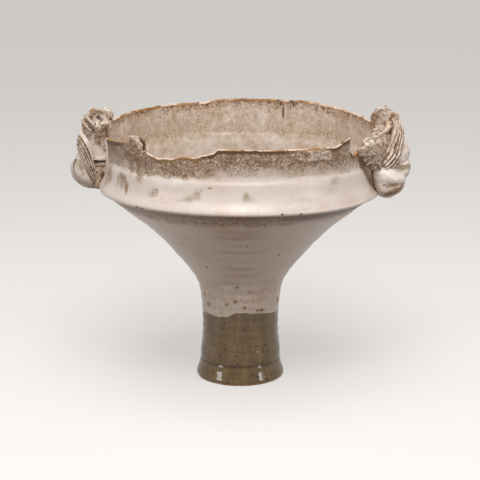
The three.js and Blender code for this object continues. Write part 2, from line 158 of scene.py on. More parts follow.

# %% [markdown]
# ## From a grid of points to a mesh
#
# Every piece here is a grid: rows along it, columns round it. One function turns such a grid into a
# closed mesh and stores what the glaze needs to know at each point. The glaze breaks brown where clay
# bulges sharply and pools white in hollows, and painted shade darkens the wider hollows, so the bulge
# is measured on the grid itself.

# %% Normals and bulges of a grid
def shifted(grid, step, axis, joined):
    """The grid moved by some steps along an axis. At an open end the last row is repeated."""
    if joined:
        return np.roll(grid, -step, axis)
    index = np.clip(np.arange(grid.shape[axis]) + step, 0, grid.shape[axis] - 1)
    return np.take(grid, index, axis)


def unit(vectors):
    """The vectors at length 1."""
    return vectors / np.maximum(np.linalg.norm(vectors, axis=-1, keepdims=True), 1e-9)


def normals(grid, tube=False):
    """Cross product of the steps along the rows and round the columns, at length 1."""
    along = shifted(grid, 1, 0, tube) - shifted(grid, -1, 0, tube)
    around = shifted(grid, 1, 1, True) - shifted(grid, -1, 1, True)
    return unit(np.cross(around, along))


def bulge(grid, reach, tube=False):
    """How far a point stands out from the middle of its neighbours at about reach mm, times 4 and divided
    by the reach, and averaged over both directions."""
    n = normals(grid, tube)
    total = 0
    for axis, joined in ((0, tube), (1, True)):
        spacing = np.linalg.norm(shifted(grid, 1, axis, joined) - grid, axis=-1).mean()
        step = int(np.clip(round(reach / max(spacing, 1e-6)), 1, grid.shape[axis] // 5 + 1))
        middle = (shifted(grid, step, axis, joined) + shifted(grid, -step, axis, joined)) / 2
        total = total + ((grid - middle) * n).sum(-1)
    return 2 * total / reach


# %% Mesh of a grid
# Faces that meet at more degrees than this keep a sharp edge between them
SHARP_ANGLE = 50
# What a glaze reads at each point: thin brown glaze, bare torn clay, olive, greenish stain, and dark for
# pits, cuts and painted shade
PAINTS = ("brown", "edge", "olive", "stain", "dark")
glazes = {}


def quads_of(index, tube):
    """Corners of the faces between neighbouring rows and columns. Columns join round, and so do the rows
    of a tube."""
    upper = index if tube else index[:-1]
    lower = np.roll(index, -1, 0) if tube else index[1:]
    return np.stack([upper, np.roll(upper, -1, 1), np.roll(lower, -1, 1), lower], -1).reshape(-1, 4)


def fans_of(first, last, centre):
    """Triangles that close the first and the last row, each round a point in its middle."""
    start = np.stack([np.full(len(first), centre), np.roll(first, -1), first], -1)
    end = np.stack([np.full(len(last), centre + 1), last, np.roll(last, -1)], -1)
    return np.concatenate([start, end])


def skin(name, grid, paint, slot, solid=None, tube=False):
    """The grid's points become a closed mesh in metres. It stands for the solid of its own name, unless
    another is named."""
    rows, columns = grid.shape[:2]
    index = np.arange(rows * columns).reshape(rows, columns)
    quads = quads_of(index, tube)
    fans = np.zeros((0, 3), int)
    points = grid.reshape(-1, 3)
    layers = {key: np.broadcast_to(paint.get(key, 0.0), (rows, columns)).ravel() for key in PAINTS}
    if not tube:
        ends = index[0], index[-1]
        fans = fans_of(*ends, len(points))
        points = np.concatenate([points, [points[end].mean(0) for end in ends]])
        layers = {key: np.append(layer, [layer[end].mean() for end in ends]) for key, layer in layers.items()}
    corners = np.concatenate([quads.ravel(), fans.ravel()])
    starts = np.concatenate([np.arange(len(quads)) * 4, len(quads) * 4 + np.arange(len(fans)) * 3])

    label = "glazed_" + name
    mesh = bpy.data.meshes.new(label)
    mesh.vertices.add(len(points))
    mesh.vertices.foreach_set("co", (points * MM).ravel())
    mesh.loops.add(len(corners))
    mesh.loops.foreach_set("vertex_index", corners)
    mesh.polygons.add(len(starts))
    mesh.polygons.foreach_set("loop_start", starts)
    mesh.update(calc_edges=True)
    mesh.shade_smooth()
    mesh.set_sharp_from_angle(angle=math.radians(SHARP_ANGLE))
    for key, layer in layers.items():
        mesh.attributes.new(key, "FLOAT", "POINT").data.foreach_set("value", layer.astype(np.float32))
    piece = added(label, mesh)
    mesh.materials.append(glazes[slot])
    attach(piece, "root")
    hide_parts(solid or name)
    print(label, len(quads) * 2 + len(fans), "triangles")


# %% [markdown]
# ## The glazes
#
# The white is a stoneware glaze over a clay that is full of iron. Where it is thick it is a warm, faintly
# pink white with a satin gloss. Where it thins, below the torn edges, the iron comes through as a fine
# brown and cream mottle, and the torn edge itself is bare rust and gold. Over thin places it is a greenish
# grey, and on the stem it stops above a glossy olive glaze with dark iron specks. All of these are one
# set of nodes. Five numbers stored at each point of a mesh say how much of each there is, and noise
# breaks up the borders, as the melt does.

# %% Colours and the node function
def linear(hex_colour):
    """An sRGB hex value as linear red, green, blue and alpha."""
    srgb = np.array([int(hex_colour[i : i + 2], 16) for i in (1, 3, 5)]) / 255
    flat = np.where(srgb <= 0.04045, srgb / 12.92, ((srgb + 0.055) / 1.055) ** 2.4)
    return (*flat.tolist(), 1)


def node(tree, kind, **given):
    """Adds a node and returns its first output that is on. A name that is one of the node's own settings is
    set. Any other name is an input, by its number after an i or with _ for a space, and gets a value or a
    link from another output."""
    made = tree.nodes.new(kind)
    for key in [key for key in given if hasattr(made, key)]:
        setattr(made, key, given.pop(key))
    for key, value in given.items():
        plug = made.inputs[int(key[1:]) if key[1:].isdigit() else key.replace("_", " ")]
        if hasattr(value, "is_output"):
            tree.links.new(value, plug)
        else:
            plug.default_value = value
    return next(output for output in made.outputs if output.enabled)


WHITE = linear("#eae0d8")
ROSE = linear("#e2cfc4")
TAUPE = linear("#ab8c6f")
MOTTLE = linear("#604537")
CREAM = linear("#e0d1bd")
UMBER = linear("#8a6636")
MOSS = linear("#a69477")
SPECK = linear("#2a1c10")
OLIVE = linear("#6f5633")
KHAKI = linear("#80693f")
IRON = linear("#2b1a08")
CUT = linear("#4a2f1a")
RUST = linear("#a2643a")
GOLD = linear("#b08d4c")
BONE = linear("#e6ccb6")
print("white glaze", [round(v, 2) for v in WHITE[:3]])


# %% Coats, broken borders and specks
PER_METRE = 1000


def coated(tree, colour, coats):
    """The colour under coats laid on in turn. A coat is a colour and the share of the surface it covers."""
    for coat, share in coats:
        colour = node(tree, "ShaderNodeMix", data_type="RGBA", i0=share, i6=colour, i7=coat)
    return colour


def broken(tree, amount, grain, weight, low, high, cover=1.0):
    """The amount plus the weighted grain less its middle, eased from 0 at low to the cover at high."""
    start = node(tree, "ShaderNodeMath", operation="MULTIPLY_ADD", i0=grain, i1=weight, i2=amount)
    return node(
        tree, "ShaderNodeMapRange", interpolation_type="SMOOTHSTEP",
        Value=start, From_Min=low + weight / 2, From_Max=high + weight / 2, To_Max=cover,
    )


def bent(tree, where, size, reach):
    """The places pushed about by noise of a size, by up to a reach, both in mm. It bends round outlines."""
    noise = node(tree, "ShaderNodeTexNoise", Vector=where, Scale=PER_METRE / size, Detail=1.0)
    return node(
        tree, "ShaderNodeVectorMath", operation="MULTIPLY_ADD",
        i0=noise.node.outputs["Color"], i1=(reach * MM,) * 3, i2=where,
    )


def specks(tree, where, spacing, radius, share, seed, cover):
    """Round specks, with their spacing and radius in mm. Each cell of a Voronoi pattern gets a random
    colour: its red says whether the cell holds a speck, and its green how wide that is."""
    moved = node(tree, "ShaderNodeMapping", Vector=where, Location=(seed, 0, 0))
    uneven = bent(tree, moved, 2 * radius, radius)
    cells = node(tree, "ShaderNodeTexVoronoi", Vector=uneven, Scale=PER_METRE / spacing)
    red = node(tree, "ShaderNodeSeparateColor", Color=cells.node.outputs["Color"])
    there = node(tree, "ShaderNodeMath", operation="LESS_THAN", i0=red, i1=share)
    size = radius / spacing
    wide = node(tree, "ShaderNodeMapRange", Value=red.node.outputs[1], To_Min=0.3 * size, To_Max=1.3 * size)
    gap = node(tree, "ShaderNodeMath", operation="SUBTRACT", i0=wide, i1=cells)
    dot = node(
        tree, "ShaderNodeMapRange", interpolation_type="SMOOTHSTEP",
        Value=gap, From_Min=-0.2 * size, From_Max=0.2 * size, To_Max=cover,
    )
    return node(tree, "ShaderNodeMath", operation="MULTIPLY", i0=dot, i1=there)


# %% The glaze
# Noise in the melt: size in mm, levels of detail and roughness
CLOUD = 26, 3, 0.5
BLOTCH = 6, 3, 0.65
GRAIN = 1.7, 2, 0.7
DIMPLE = 9, 2, 0.5
# Size of the runs in the olive, and of the small cells of the mottle and the noise that bends them, in mm
RUN = 5
CELL = 1.3
BEND = 1.6


def glaze(name, gloss, wet):
    """Stoneware glaze over iron clay. Gloss is the roughness of thick white, and wet that of olive."""
    material = bpy.data.materials.new(name)
    material.use_nodes = True
    tree = material.node_tree
    shader = tree.nodes["Principled BSDF"]
    where = node(tree, "ShaderNodeTexCoord").node.outputs["Object"]
    has = {key: node(tree, "ShaderNodeAttribute", attribute_name=key).node.outputs["Fac"] for key in PAINTS}

    cloud, blotch, grain, dimple = (
        node(
            tree, "ShaderNodeTexNoise",
            Vector=where, Scale=PER_METRE / size, Detail=detail, Roughness=roughness,
        )
        for size, detail, roughness in (CLOUD, BLOTCH, GRAIN, DIMPLE)
    )
    drift = node(tree, "ShaderNodeMapping", Vector=where, Scale=(1, 1, 0.12))
    runs = node(tree, "ShaderNodeTexNoise", Vector=drift, Scale=PER_METRE / RUN)
    # The mottle is a net of small melted cells, bent by noise, each with a tone and a paleness of its own
    cells = node(tree, "ShaderNodeTexVoronoi", Vector=bent(tree, where, BEND, CELL), Scale=PER_METRE / CELL)
    tone = node(tree, "ShaderNodeSeparateColor", Color=cells.node.outputs["Color"])
    pale = tone.node.outputs[1]
    thinned = node(
        tree, "ShaderNodeMapRange", Value=has["brown"], From_Min=0.1, From_Max=0.4, To_Min=-0.7, To_Max=0.0,
    )

    # The white: rosy clouds where it is thick, stains, then what the iron does as it thins, then specks
    white = coated(tree, WHITE, [
        (ROSE, broken(tree, 0.0, cloud, 1.0, -0.1, 0.18, 0.75)),
        (MOSS, broken(tree, has["stain"], blotch, 0.8, 0.2, 1.0, 0.85)),
        (TAUPE, broken(tree, has["brown"], blotch, 0.4, 0.0, 0.7, 0.9)),
        (CREAM, broken(tree, thinned, pale, 1.6, 0.1, 0.6, 0.7)),
        (MOTTLE, broken(tree, has["brown"], tone, 0.9, 0.45, 1.0, 0.75)),
        (UMBER, broken(tree, has["brown"], blotch, 0.6, 0.74, 1.1, 0.85)),
        (MOTTLE, specks(tree, where, 7.0, 0.5, 0.4, 0.0, 0.55)),
        (SPECK, specks(tree, where, 21.0, 1.0, 0.32, 0.31, 0.8)),
    ])
    # The olive of the stem: runs of khaki under iron specks
    stem = coated(tree, OLIVE, [
        (KHAKI, broken(tree, 0.0, runs, 1.0, -0.15, 0.2)),
        (IRON, specks(tree, where, 4.4, 1.1, 0.6, 0.17, 0.9)),
    ])
    # Torn clay: rust, in places gold, bone or as dark as a cut
    bare = coated(tree, RUST, [
        (GOLD, broken(tree, 0.0, grain, 1.0, -0.08, 0.1)),
        (BONE, broken(tree, 0.0, cloud, 1.0, -0.08, 0.06)),
        (CUT, broken(tree, 0.0, blotch, -1.0, 0.06, 0.14)),
    ])
    # Dark lays the colour of a cut on pits and nicks, and on painted shade in hollows, seams and under the
    # bead
    olive = broken(tree, has["olive"], grain, 0.5, 0.35, 0.65)
    dark = broken(tree, has["dark"], grain, 0.6, 0.25, 0.7, 0.9)
    torn = broken(tree, has["edge"], blotch, 0.9, 0.35, 0.7)
    colour = coated(tree, white, [(stem, olive), (CUT, dark), (bare, torn)])
    tree.links.new(colour, shader.inputs["Base Color"])

    # Thin glaze is nearly matt, the olive is wet, and torn clay is dry
    satin = node(
        tree, "ShaderNodeMapRange", Value=has["brown"], From_Min=0.2, From_Max=1.0, To_Min=gloss, To_Max=0.5,
    )
    satin = node(tree, "ShaderNodeMix", i0=olive, i2=satin, i3=wet)
    satin = node(tree, "ShaderNodeMix", i0=torn, i2=satin, i3=0.62)
    tree.links.new(satin, shader.inputs["Roughness"])

    # The grain is 0.12 mm high and the slow dimples of the melt are 0.4 mm deep, both softened by a strength
    fine = node(tree, "ShaderNodeBump", Strength=0.3, Distance=0.12 * MM, Height=grain)
    bump = node(tree, "ShaderNodeBump", Strength=0.6, Distance=0.4 * MM, Height=dimple, Normal=fine)
    tree.links.new(bump, shader.inputs["Normal"])
    shader.inputs["IOR"].default_value = 1.52
    return material


# Slot and name of the finish, roughness of its thick white, roughness of its olive
FINISHES = [
    # Thick and even on the wall, with a soft sheen
    ("white_glaze", "satin_white_glaze", 0.34, 0.12),
    # Thin over torn strips, where the edges dried bare
    ("rim_glaze", "thin_white_glaze_on_torn_clay", 0.32, 0.2),
    # Pooled on the pressed wads, and the shiniest white
    ("lug_glaze", "pooled_white_glaze_on_pressed_clay", 0.24, 0.2),
    # Glassy on the stem and foot, which mirror the lamps
    ("olive_glaze", "glossy_olive_glaze", 0.27, 0.07),
]
for slot, *finish in FINISHES:
    glazes[slot] = glaze(*finish)
print("glazes:", ", ".join(glazes))

# %% [markdown]
# ## The thrown wall
#
# On the wheel every section is a profile turned about one axis, so a radius at each height is nearly
# all there is to know. The hand adds the rest: a faint spiral of throwing rings, a slow wander from
# round, and dents. One function gives the outer radius at any height and angle, so that two sections
# meet on the same line, as they do where a potter has luted and smoothed them. Dents, stains and flecks
# are soft ovals, listed by their place on the wall.

# %% Places and soft marks on the wall
def wall_point(angle, radius, height):
    """Angle in degrees from the front round to the right."""
    a = np.radians(angle)
    return np.stack(np.broadcast_arrays(radius * np.sin(a), -radius * np.cos(a), height), -1)


def marks(rows, angle, z, radius):
    """Soft ovals on the wall: for each row of angle, height, half width, half height and strength, the
    strength times a bell across and up."""
    total = 0
    for at, height, wide, tall, strength in rows:
        across = np.radians(turned(angle, at)) * radius
        total = total + strength * bell(across / wide, (z - height) / tall)
    return total


print("at 90 degrees and 100 mm:", wall_point(90, 100, 0).round(1))

# %% Outer and inner radius of the wall
# Height and radius of the profile outside and inside
OUTSIDE = [
    (0, 40.2), (3, 41.2), (7, 39.9), (12, 38.2), (16.2, 37.6), (17.6, 36.9), (19.4, 37.3), (24, 37.3),
    (34, 36.1), (46, 35.4), (58, 35.6), (68, 35.9), (76, 36.7), (84, 37.8), (90, 39.2), (95, 41.2),
    (100, 44.1), (110, 51.5), (120, 60.1), (130, 68.5), (140, 78.2), (150, 88.6), (158, 98.8), (164, 106.5),
    (169, 112.2), (173, 117.2), (176.5, 121.1), (179.5, 125), (181, 127.6), (182, 129.3), (183.4, 129.8),
    (185, 129.2), (188, 127.2), (192, 125.3), (198, 123.9), (203, 123.3), (206, 122.8), (209, 121.6),
    (212, 121.1), (217, 121.4), (225, 122.3), (246, 122.6), (256, 122.6),
]
INSIDE = [
    (98, 0.1), (98.4, 12), (100, 24), (104, 33), (110, 42.5), (120, 51.5), (130, 60), (140, 69.6),
    (150, 80), (158, 90), (164, 97.4), (169, 103.2), (173, 107.8), (177, 112.2), (181, 116), (186, 117.4),
    (196, 117), (203, 116.4), (208, 117.2), (213, 118.9), (220, 119.6), (246, 120.3), (256, 120.3),
]
# Thumb dents: rows as for the marks, with the depth in mm
DENTS = [
    (-14, 97, 6, 4, 0.9), (-40, 93, 9, 3.5, 0.9), (30, 92, 10, 3.5, -0.6), (12, 88, 7, 3, 0.5),
    (-60, 96, 8, 4, 0.6), (4, 135, 45, 1.1, 0.5), (-33, 134.4, 30, 1.0, 0.4), (150, 95, 12, 5, 0.9),
    (100, 90, 9, 4, 0.7), (-125, 98, 9, 4, 0.8),
]
# Throwing rings: spacing and height in mm
OUTER_RINGS = 9, 0.16
INNER_RINGS = 8, 0.2


def drag(angle, z):
    """The right lug pulls the rim 4.2 mm outwards: a bell in angle times a smooth step in height."""
    return 4.2 * bell(turned(angle, 84) / 15) * ease(212, 234, z)


def sag(angle, z):
    """The bead sags 0.8 mm, and 1.9 mm more at the front right: bells in angle and in height."""
    return (0.8 + 1.9 * bell(turned(angle, 48) / 30)) * bell((z - 181.5) / 5.5)


def outer_radius(angle, z):
    """The profile, read a little higher where the bead sags, plus rings that climb with the angle, plus a
    slow wander that fades at the foot, less the dents, plus the drag."""
    base = through(OUTSIDE, z + sag(angle, z))
    spacing, height = OUTER_RINGS
    rings = height * np.sin(2 * np.pi * (z / spacing + angle / 360)) * ease(20, 40, z) * ease(180, 165, z)
    p = wall_point(angle, base, z)
    wander = (0.35 * rough(p, 34, 3) + 0.12 * rough(p, 9, 5)) * ease(0, 6, z)
    return base + rings + wander - marks(DENTS, angle, z, through(OUTSIDE, z)) + drag(angle, z)


def inner_radius(angle, z):
    """The inner profile plus level rings, which fade at the floor and on the collar, plus a slow wander,
    plus the drag."""
    base = through(INSIDE, z)
    spacing, height = INNER_RINGS
    rings = height * np.sin(2 * np.pi * z / spacing) * ease(100, 120, z) * ease(200, 180, z)
    return base + rings + 0.25 * rough(wall_point(angle, base, z), 30, 8) + drag(angle, z)


print("shoulder radius", outer_radius(np.array([0.0]), np.array([183.4])).round(1), "mm")

# %% [markdown]
# ## The torn rim
#
# Three strips of clay were torn, not cut, so their upper edges wander and end in ragged steps. A tear is
# written as heights at angles, straight between them, because it changes abruptly, with a little noise
# for the grain of the clay.

# %% Heights of the tears
TEARS = {
    "left": [
        (-86, 230), (-75, 230.2), (-68, 231.5), (-59, 233.4), (-51, 234.5), (-46.5, 234.9), (-45.4, 233.6),
    ],
    "front": [
        (-45.4, 230.6), (-44.6, 229.6), (-41.2, 228.9), (-39, 227.3), (-35, 225.2), (-31.4, 226.1),
        (-29, 226), (-24.5, 228.5), (-20, 228.9), (-17.7, 228.6), (-16, 230.1), (-13.2, 231.6),
        (-10.4, 233.5), (-8.8, 236.8), (-4, 236.5), (0, 236.6), (11.6, 235.7), (24, 235.1), (33, 234.7),
        (38.4, 234.3), (41.7, 233.1), (44, 234.7), (47, 236.9), (49.4, 238.6), (50.6, 239.7),
    ],
    "back": [
        (50.6, 229), (51.4, 227), (52.8, 223.5), (54.4, 222.1), (57.6, 226.4), (61.2, 229.6), (65.6, 232.6),
        (91, 237.5), (100, 238.6), (112.5, 240.3), (121, 241.6), (135, 243.3), (140.5, 244.6), (146, 245.6),
        (151, 245.6), (156, 245), (161, 245), (166, 245.2), (180, 245.2), (189.5, 244.8), (194.3, 244.1),
        (196.2, 242.7), (209, 242.4), (214, 243.1), (226, 242), (240, 241), (258, 239), (274, 238.5),
    ],
}
# Where the strips stand on the collar, and the wall's outer and inner radius under the rim
COLLAR_TOP = 209
RIM = 122.4
INNER_RIM = 119


def tear(side, angle):
    """Height of the torn edge: the rows joined by straight lines, plus lumps of 4 mm and 1.5 mm."""
    angles, heights = np.array(TEARS[side], float).T
    along = wall_point(angle, RIM, 0.0)
    return np.interp(angle, angles, heights) + 0.22 * rough(along, 4, 21) + 0.2 * rough(along, 1.5, 22)


def nearest_tear(angle):
    """The torn edge over any point of the wall, for the glaze below it."""
    first, second, third = (TEARS[side][0][0] for side in TEARS)
    at = (angle - first) % 360 + first
    return np.where(at < second, tear("left", at), np.where(at < third, tear("front", at), tear("back", at)))


print("rim from", min(h for rows in TEARS.values() for _, h in rows), "mm up")

# %% [markdown]
# ## What the glaze knows about the wall
#
# The white was poured over the bowl and the olive on the stem, and the fire did the rest. From the tear
# down to the ridge the glaze is thin and brown. Under the shoulder, where it ran off, a brown line is
# left, and the shade under the bead is painted on there as brown and dark. The white ends on the stem
# with a soft wavy edge and one long drip.

# %% Lines and marks in the glaze outside
# Height where the brown mottle under the rim ends, at angles
BROWN_ENDS = [
    (-180, 210), (-120, 209), (-86, 208.5), (-69, 210), (-56, 211.8), (-46, 209), (-40, 209.2),
    (-29, 210.3), (-12, 211.5), (0, 213.2), (12, 213.4), (24, 212), (39, 210.2), (52, 208.8), (90, 209),
    (130, 211), (180, 210),
]
# Height where the white ends on the stem, at angles
STEM_LINE = [
    (-180, 68), (-150, 66), (-120, 67), (-90, 65), (-77, 63.3), (-60, 64.4), (-47, 64.1), (-35, 63.6),
    (-28, 64), (-18.5, 65.5), (-11, 68.3), (-6, 69.2), (7, 68.9), (25, 67.9), (39, 67.1), (55, 65.4),
    (72, 64.5), (90, 65), (120, 66.5), (150, 67), (180, 68),
]
# Thin places on the collar, greenish grey
STAINS = [
    (-37, 194.5, 7, 4, 0.7), (-35, 198.5, 3, 3, 0.6), (-20.5, 193.5, 8, 3, 0.6), (-17, 198, 5, 4, 0.7),
    (-15.3, 202, 2, 2, 0.5), (2.2, 198, 3, 3.5, 0.8), (3, 194, 7, 3, 0.6), (-27, 192, 16, 2, 0.4),
    (-57, 199, 6, 7, 1.0), (-53, 195, 3, 5, 0.9), (-70, 198, 8, 7, 0.9), (66, 188, 7, 5, 0.7),
    (60, 197, 4, 9, 0.4), (112, 196, 8, 4, 0.8), (135, 195, 9, 5, 0.7), (165, 196, 7, 4, 0.8),
    (198, 195, 8, 4, 0.7), (232, 197, 9, 5, 0.8),
]
# Brown flecks and smears
FLECKS = [
    (-58, 204, 3.5, 2.4, 0.75), (-60.3, 198.5, 2.6, 5, 0.55), (-55, 202, 3, 3.5, 0.65),
    (-52.8, 196.5, 2.4, 4, 0.6), (-52.3, 191.8, 1.3, 2, 0.8), (-36.5, 196.5, 2.5, 4, 0.3),
    (-17.5, 198.5, 3, 5, 0.25), (-71, 203, 6, 6, 0.5), (-74, 194, 5, 8, 0.4), (-45, 206, 4, 3.5, 0.6),
    (-51, 214, 3, 8, 0.4), (-46.5, 214, 2, 7, 0.4), (-44, 212, 7, 4, -0.2), (-68, 227, 9, 4, 0.3),
    (41, 204, 6, 4, 0.4), (-56, 229.5, 1, 2.5, 0.8), (-54.2, 226.5, 1.3, 1.5, 0.8),
    (-51, 224.1, 2.5, 0.9, 0.8), (-47, 222.2, 2.5, 0.9, 0.8), (38.7, 196.3, 6, 3, 0.22),
    (24, 192, 16, 4, 0.2), (-12, 203.5, 1.5, 0.8, 0.9), (120, 203, 8, 4, 0.4), (170, 203, 5, 4, 0.5),
    (215, 202, 7, 4, 0.4), (250, 205, 8, 5, 0.5), (-62, 82.4, 1.6, 1.5, 0.8), (-55, 73.6, 2, 1.6, 0.8),
    (-20, 77, 1.6, 1.2, 0.9), (-7, 80, 1.5, 1.5, 0.8), (6, 74.3, 1.5, 1.5, 0.9), (26, 71, 1.4, 1.2, 1),
    (33, 70.4, 2, 1.2, 1), (70, 76, 2, 3, 0.7),
]
# Pits down to the dark clay: on the cone, and nicks in the lower edge of the bead
PITS = [
    (-15.2, 171.1, 1.7, 0.9, 1.2), (-32.1, 116.1, 0.9, 1.6, 1.2), (30.1, 130.1, 1.3, 1.1, 1.2),
    (4, 143.2, 0.8, 1.5, 0.9), (-4.2, 94.9, 3.2, 1.6, 0.7), (12.4, 89.8, 1.1, 1.2, 1),
    (-43.4, 181.6, 2.6, 0.9, 1.3), (-40.8, 181.3, 1.8, 0.9, 1.3), (15.7, 181.9, 1.4, 1, 1.2),
    (23.3, 180.9, 1.5, 1, 1.2), (140, 150, 1.2, 1.4, 1), (-110, 128, 1.4, 1.1, 1), (95, 112, 1, 1.5, 1),
]

# Angle of the painted shadow in the seam beside the right lug, at heights
SEAM = [(183, 73.4), (188, 70.8), (199.6, 65.6), (208, 62.2), (215.5, 59.4), (226, 56.4), (232, 55)]

# How dark the glaze is just under the torn edge, at angles
DARK_TOPS = [
    (-180, 0.4), (-90, 0.6), (-72, 1.2), (-62, 1.0), (-55, 0.4), (-40, 0.1), (-20, 0.2), (-10, 0.75),
    (15, 0.7), (24, 0.25), (36, 0.15), (42, 0.75), (50, 0.75), (57, 0.2), (90, 0.4), (180, 0.4),
]
# Lower edge of the white on the bead, at angles
BEAD_ENDS = [
    (-180, 180.4), (-90, 180.2), (-45, 180.3), (0, 180.4), (14, 180), (28, 179), (40, 178.2), (55, 178),
    (70, 178.6), (90, 179.6), (130, 180.4), (180, 180.4),
]
print("marks outside:", len(STAINS + FLECKS + PITS))

# %% Glaze on the outside
# Lower edge of the bead, the height below which flecks lie on the stem, and the radii where marks lie
BEAD_FOOT = 181.8
STEM_END = 120
STEM_RADIUS = 37
COLLAR_RADIUS = 123
STAIN_RADIUS = 124


def outer_glaze(angle, z):
    """Brown, bare edge, olive, stain and dark on the outside, as functions of the angle and the height."""
    around = turned(angle)
    p = wall_point(angle, RIM, z)
    cloud = rough(p, 8, 31)
    top = nearest_tear(angle)
    below = top - z

    # Under the rim the glaze is thin: palest low down at the front and the left, brownest at the torn edge
    end = through(BROWN_ENDS, around)
    front = ease(-20, -6, around) * ease(150, 90, around)
    paler = (0.34 * front + 0.24 * ease(-40, -52, around)) * ease(end + 13, end + 2, z)
    uneven = 0.12 * ease(end + 1, top - 5, z) + 0.15 * rough(p, 9, 33)
    collar = 0.04 + ease(end - 3, end + 1.5, z + 1.6 * cloud) * (0.58 - paler + uneven)
    collar = collar + 0.4 * ease(5, 1.2, below) * (0.8 + 0.6 * rough(p, 13, 37))
    # A little brown on the bead is painted shade that dims its highlight
    collar = collar + 0.12 * bell((z - 184.4) / 2.4)

    # Below the bead it ran thin again, and painted shade darkens it under the bead, most at the front right;
    # it is thin on the neck
    under = through(BEAD_ENDS, around)
    shaded = ease(under + 0.4, under - 0.4, z)
    right = ease(8, 30, around) * ease(78, 58, around)
    shoulder = 0.6 * ease(164, 172, z + 1.5 * cloud) + (0.2 + 0.25 * right) * ease(172, 180, z)
    funnel = 0.05 + shoulder * shaded + 0.2 * ease(112, 88, z)

    # A shadow is painted in the seam beside the right lug, brown and dark, sharp on its left and fading
    # slowly towards the lug
    aside = np.radians(around - through(SEAM, z)) * RIM / (2.6 + 4.4 * ease(216, 192, z))
    seam_shadow = bell(np.where(aside > 0, 0.45 * aside, aside)) * ease(181.5, 186, z) * ease(232, 226, z)

    flecks = marks(FLECKS, angle, z, np.where(z < STEM_END, STEM_RADIUS, COLLAR_RADIUS))
    line = through(STEM_LINE, around) + 0.5 * rough(wall_point(angle, STEM_RADIUS - 1, z), 5, 35)
    groove = 0.6 * ease(20.5, 17.8, z) * ease(14.5, 17, z)
    # Painted shade under the overhanging bead, darker and lower at the front right
    painted_bead_shade = (0.46 + 0.3 * right) * ease(169, 178, z + 2 * right) * shaded
    top_dark = ease(7, 2, below) * through(DARK_TOPS, around)
    return {
        "brown": np.where(z > BEAD_FOOT, collar, funnel) + flecks + 0.75 * seam_shadow,
        "edge": ease(1.5, 0.4, below) + ease(2.6, 1.0, z),
        "olive": ease(line + 1.4, line - 1.4, z),
        "stain": marks(STAINS, angle, z, STAIN_RADIUS),
        "dark": marks(PITS, angle, z, through(OUTSIDE, z)) + groove + 0.5 * seam_shadow + painted_bead_shade + top_dark,
    }


sample = outer_glaze(0, np.array([225, 190, 90]))
print("brown under the rim, on the collar and on the neck:", sample["brown"].round(2))

# %% Glaze on the inside
# Brown streaks that ran down from the rim of the back wall
STREAKS = [
    (159.3, 232.5, 1.0, 6.5, 1.3), (160.5, 241.5, 1.1, 2, 1.4), (154.2, 241, 1.0, 3, 1.1),
    (137.7, 240, 1.0, 3, 1.1), (120.6, 239.3, 1.2, 2.4, 1.5), (114.6, 238.6, 1.1, 2.4, 1.5),
    (196, 241, 1.1, 2.4, 1.3), (214, 241, 1.0, 2.4, 1.3), (232, 239, 1.1, 2, 1.3),
]
# Noise read on flattened heights draws out into streaks that run down
STREAKED = (1, 1, 0.25)


def inner_glaze(angle, z):
    """On the inside the mottle is paler and reaches down to the collar's inner step, along which a grey
    line is painted shade. Below the step the wall is painted a little paler, as painted light where it
    leans in."""
    p = wall_point(angle, INNER_RIM, z)
    below = nearest_tear(angle) - z
    upper = ease(215, 224, z + 3 * rough(p, 16, 41))
    line = bell((z - 213.6 - 1.5 * rough(p, 30, 44)) / 5.5) * (0.8 + 0.4 * rough(p, 14, 42))
    worn = 0.28 * ease(12, 3, below) + 0.5 * ease(4, 1, below)
    mottle = (0.08 * rough(p, 7, 43) + 0.12 * rough(p * STREAKED, 2.6, 46)) * (0.3 + upper)
    return {
        "brown": 0.14 + 0.13 * upper + 0.22 * line + worn + mottle,
        "edge": np.maximum(ease(2.2, 0.8, below), 0.4 * ease(6, 1, below)),
        "stain": 0.57 + 0.18 * line - 0.1 * ease(210, 203, z) + 0.15 * rough(p, 22, 45),
        "dark": marks(STREAKS, angle, z, INNER_RIM),
    }


print("brown at the inner line:", inner_glaze(0, np.array([214]))["brown"].round(2))

# %% [markdown]
# ## The thrown sections
#
# Foot ring, stem, funnel and collar are each one closed turn of their own cross-section. A cross-section
# is a loop that goes up the outside and down the inside, so foot, stem and collar close on themselves,
# and the funnel closes on the axis.

# %% Rows of points at heights
def ring_of(zs, radius_at, glaze_at, columns):
    """Rows of points at the heights, with what the glaze needs there."""
    angle, z = np.broadcast_arrays(np.arange(columns) * 360.0 / columns, np.array(zs, float)[:, None])
    return wall_point(angle, radius_at(angle, z), z), glaze_at(angle, z)


def joined(parts, axis=0):
    """Grids of points and their paint, joined along an axis. A paint that a part lacks is 0."""
    grid = np.concatenate([points for points, _ in parts], axis)
    paint = {}
    for key in PAINTS:
        layers = [np.broadcast_to(layer.get(key, 0), points.shape[:2]) for points, layer in parts]
        paint[key] = np.concatenate(layers, axis)
    return grid, paint


def hidden(angle, z):
    """Unglazed clay under the foot and inside the stem."""
    return {"edge": 1 + 0 * z}


def heights(low, high, step):
    """Even heights from low to high, about a step apart."""
    return np.linspace(low, high, max(2, round(abs(high - low) / step) + 1))


print("foot ring at", len(heights(0.6, 17.6, 0.6)), "heights")

# %% Foot ring and stem
FOOT_TOP = 17.6
NECK = 90
# Radii of the ring it stands on, and of the hollow above it
RING_INSIDE = 34.2
RING_OUTSIDE = 39.4
HOLLOW = 30
# How far up the inner edge of the ring is rounded
ROUNDING = 0.9
# Height and radius inside the stem
STEM_HOLLOW = [(FOOT_TOP, 29.4), (46, 29.4), (NECK, 33.2)]


def ring_inside(angle, z):
    """The rounded inner edge of the ring."""
    return RING_INSIDE + ROUNDING * ease(ROUNDING, 0, z)


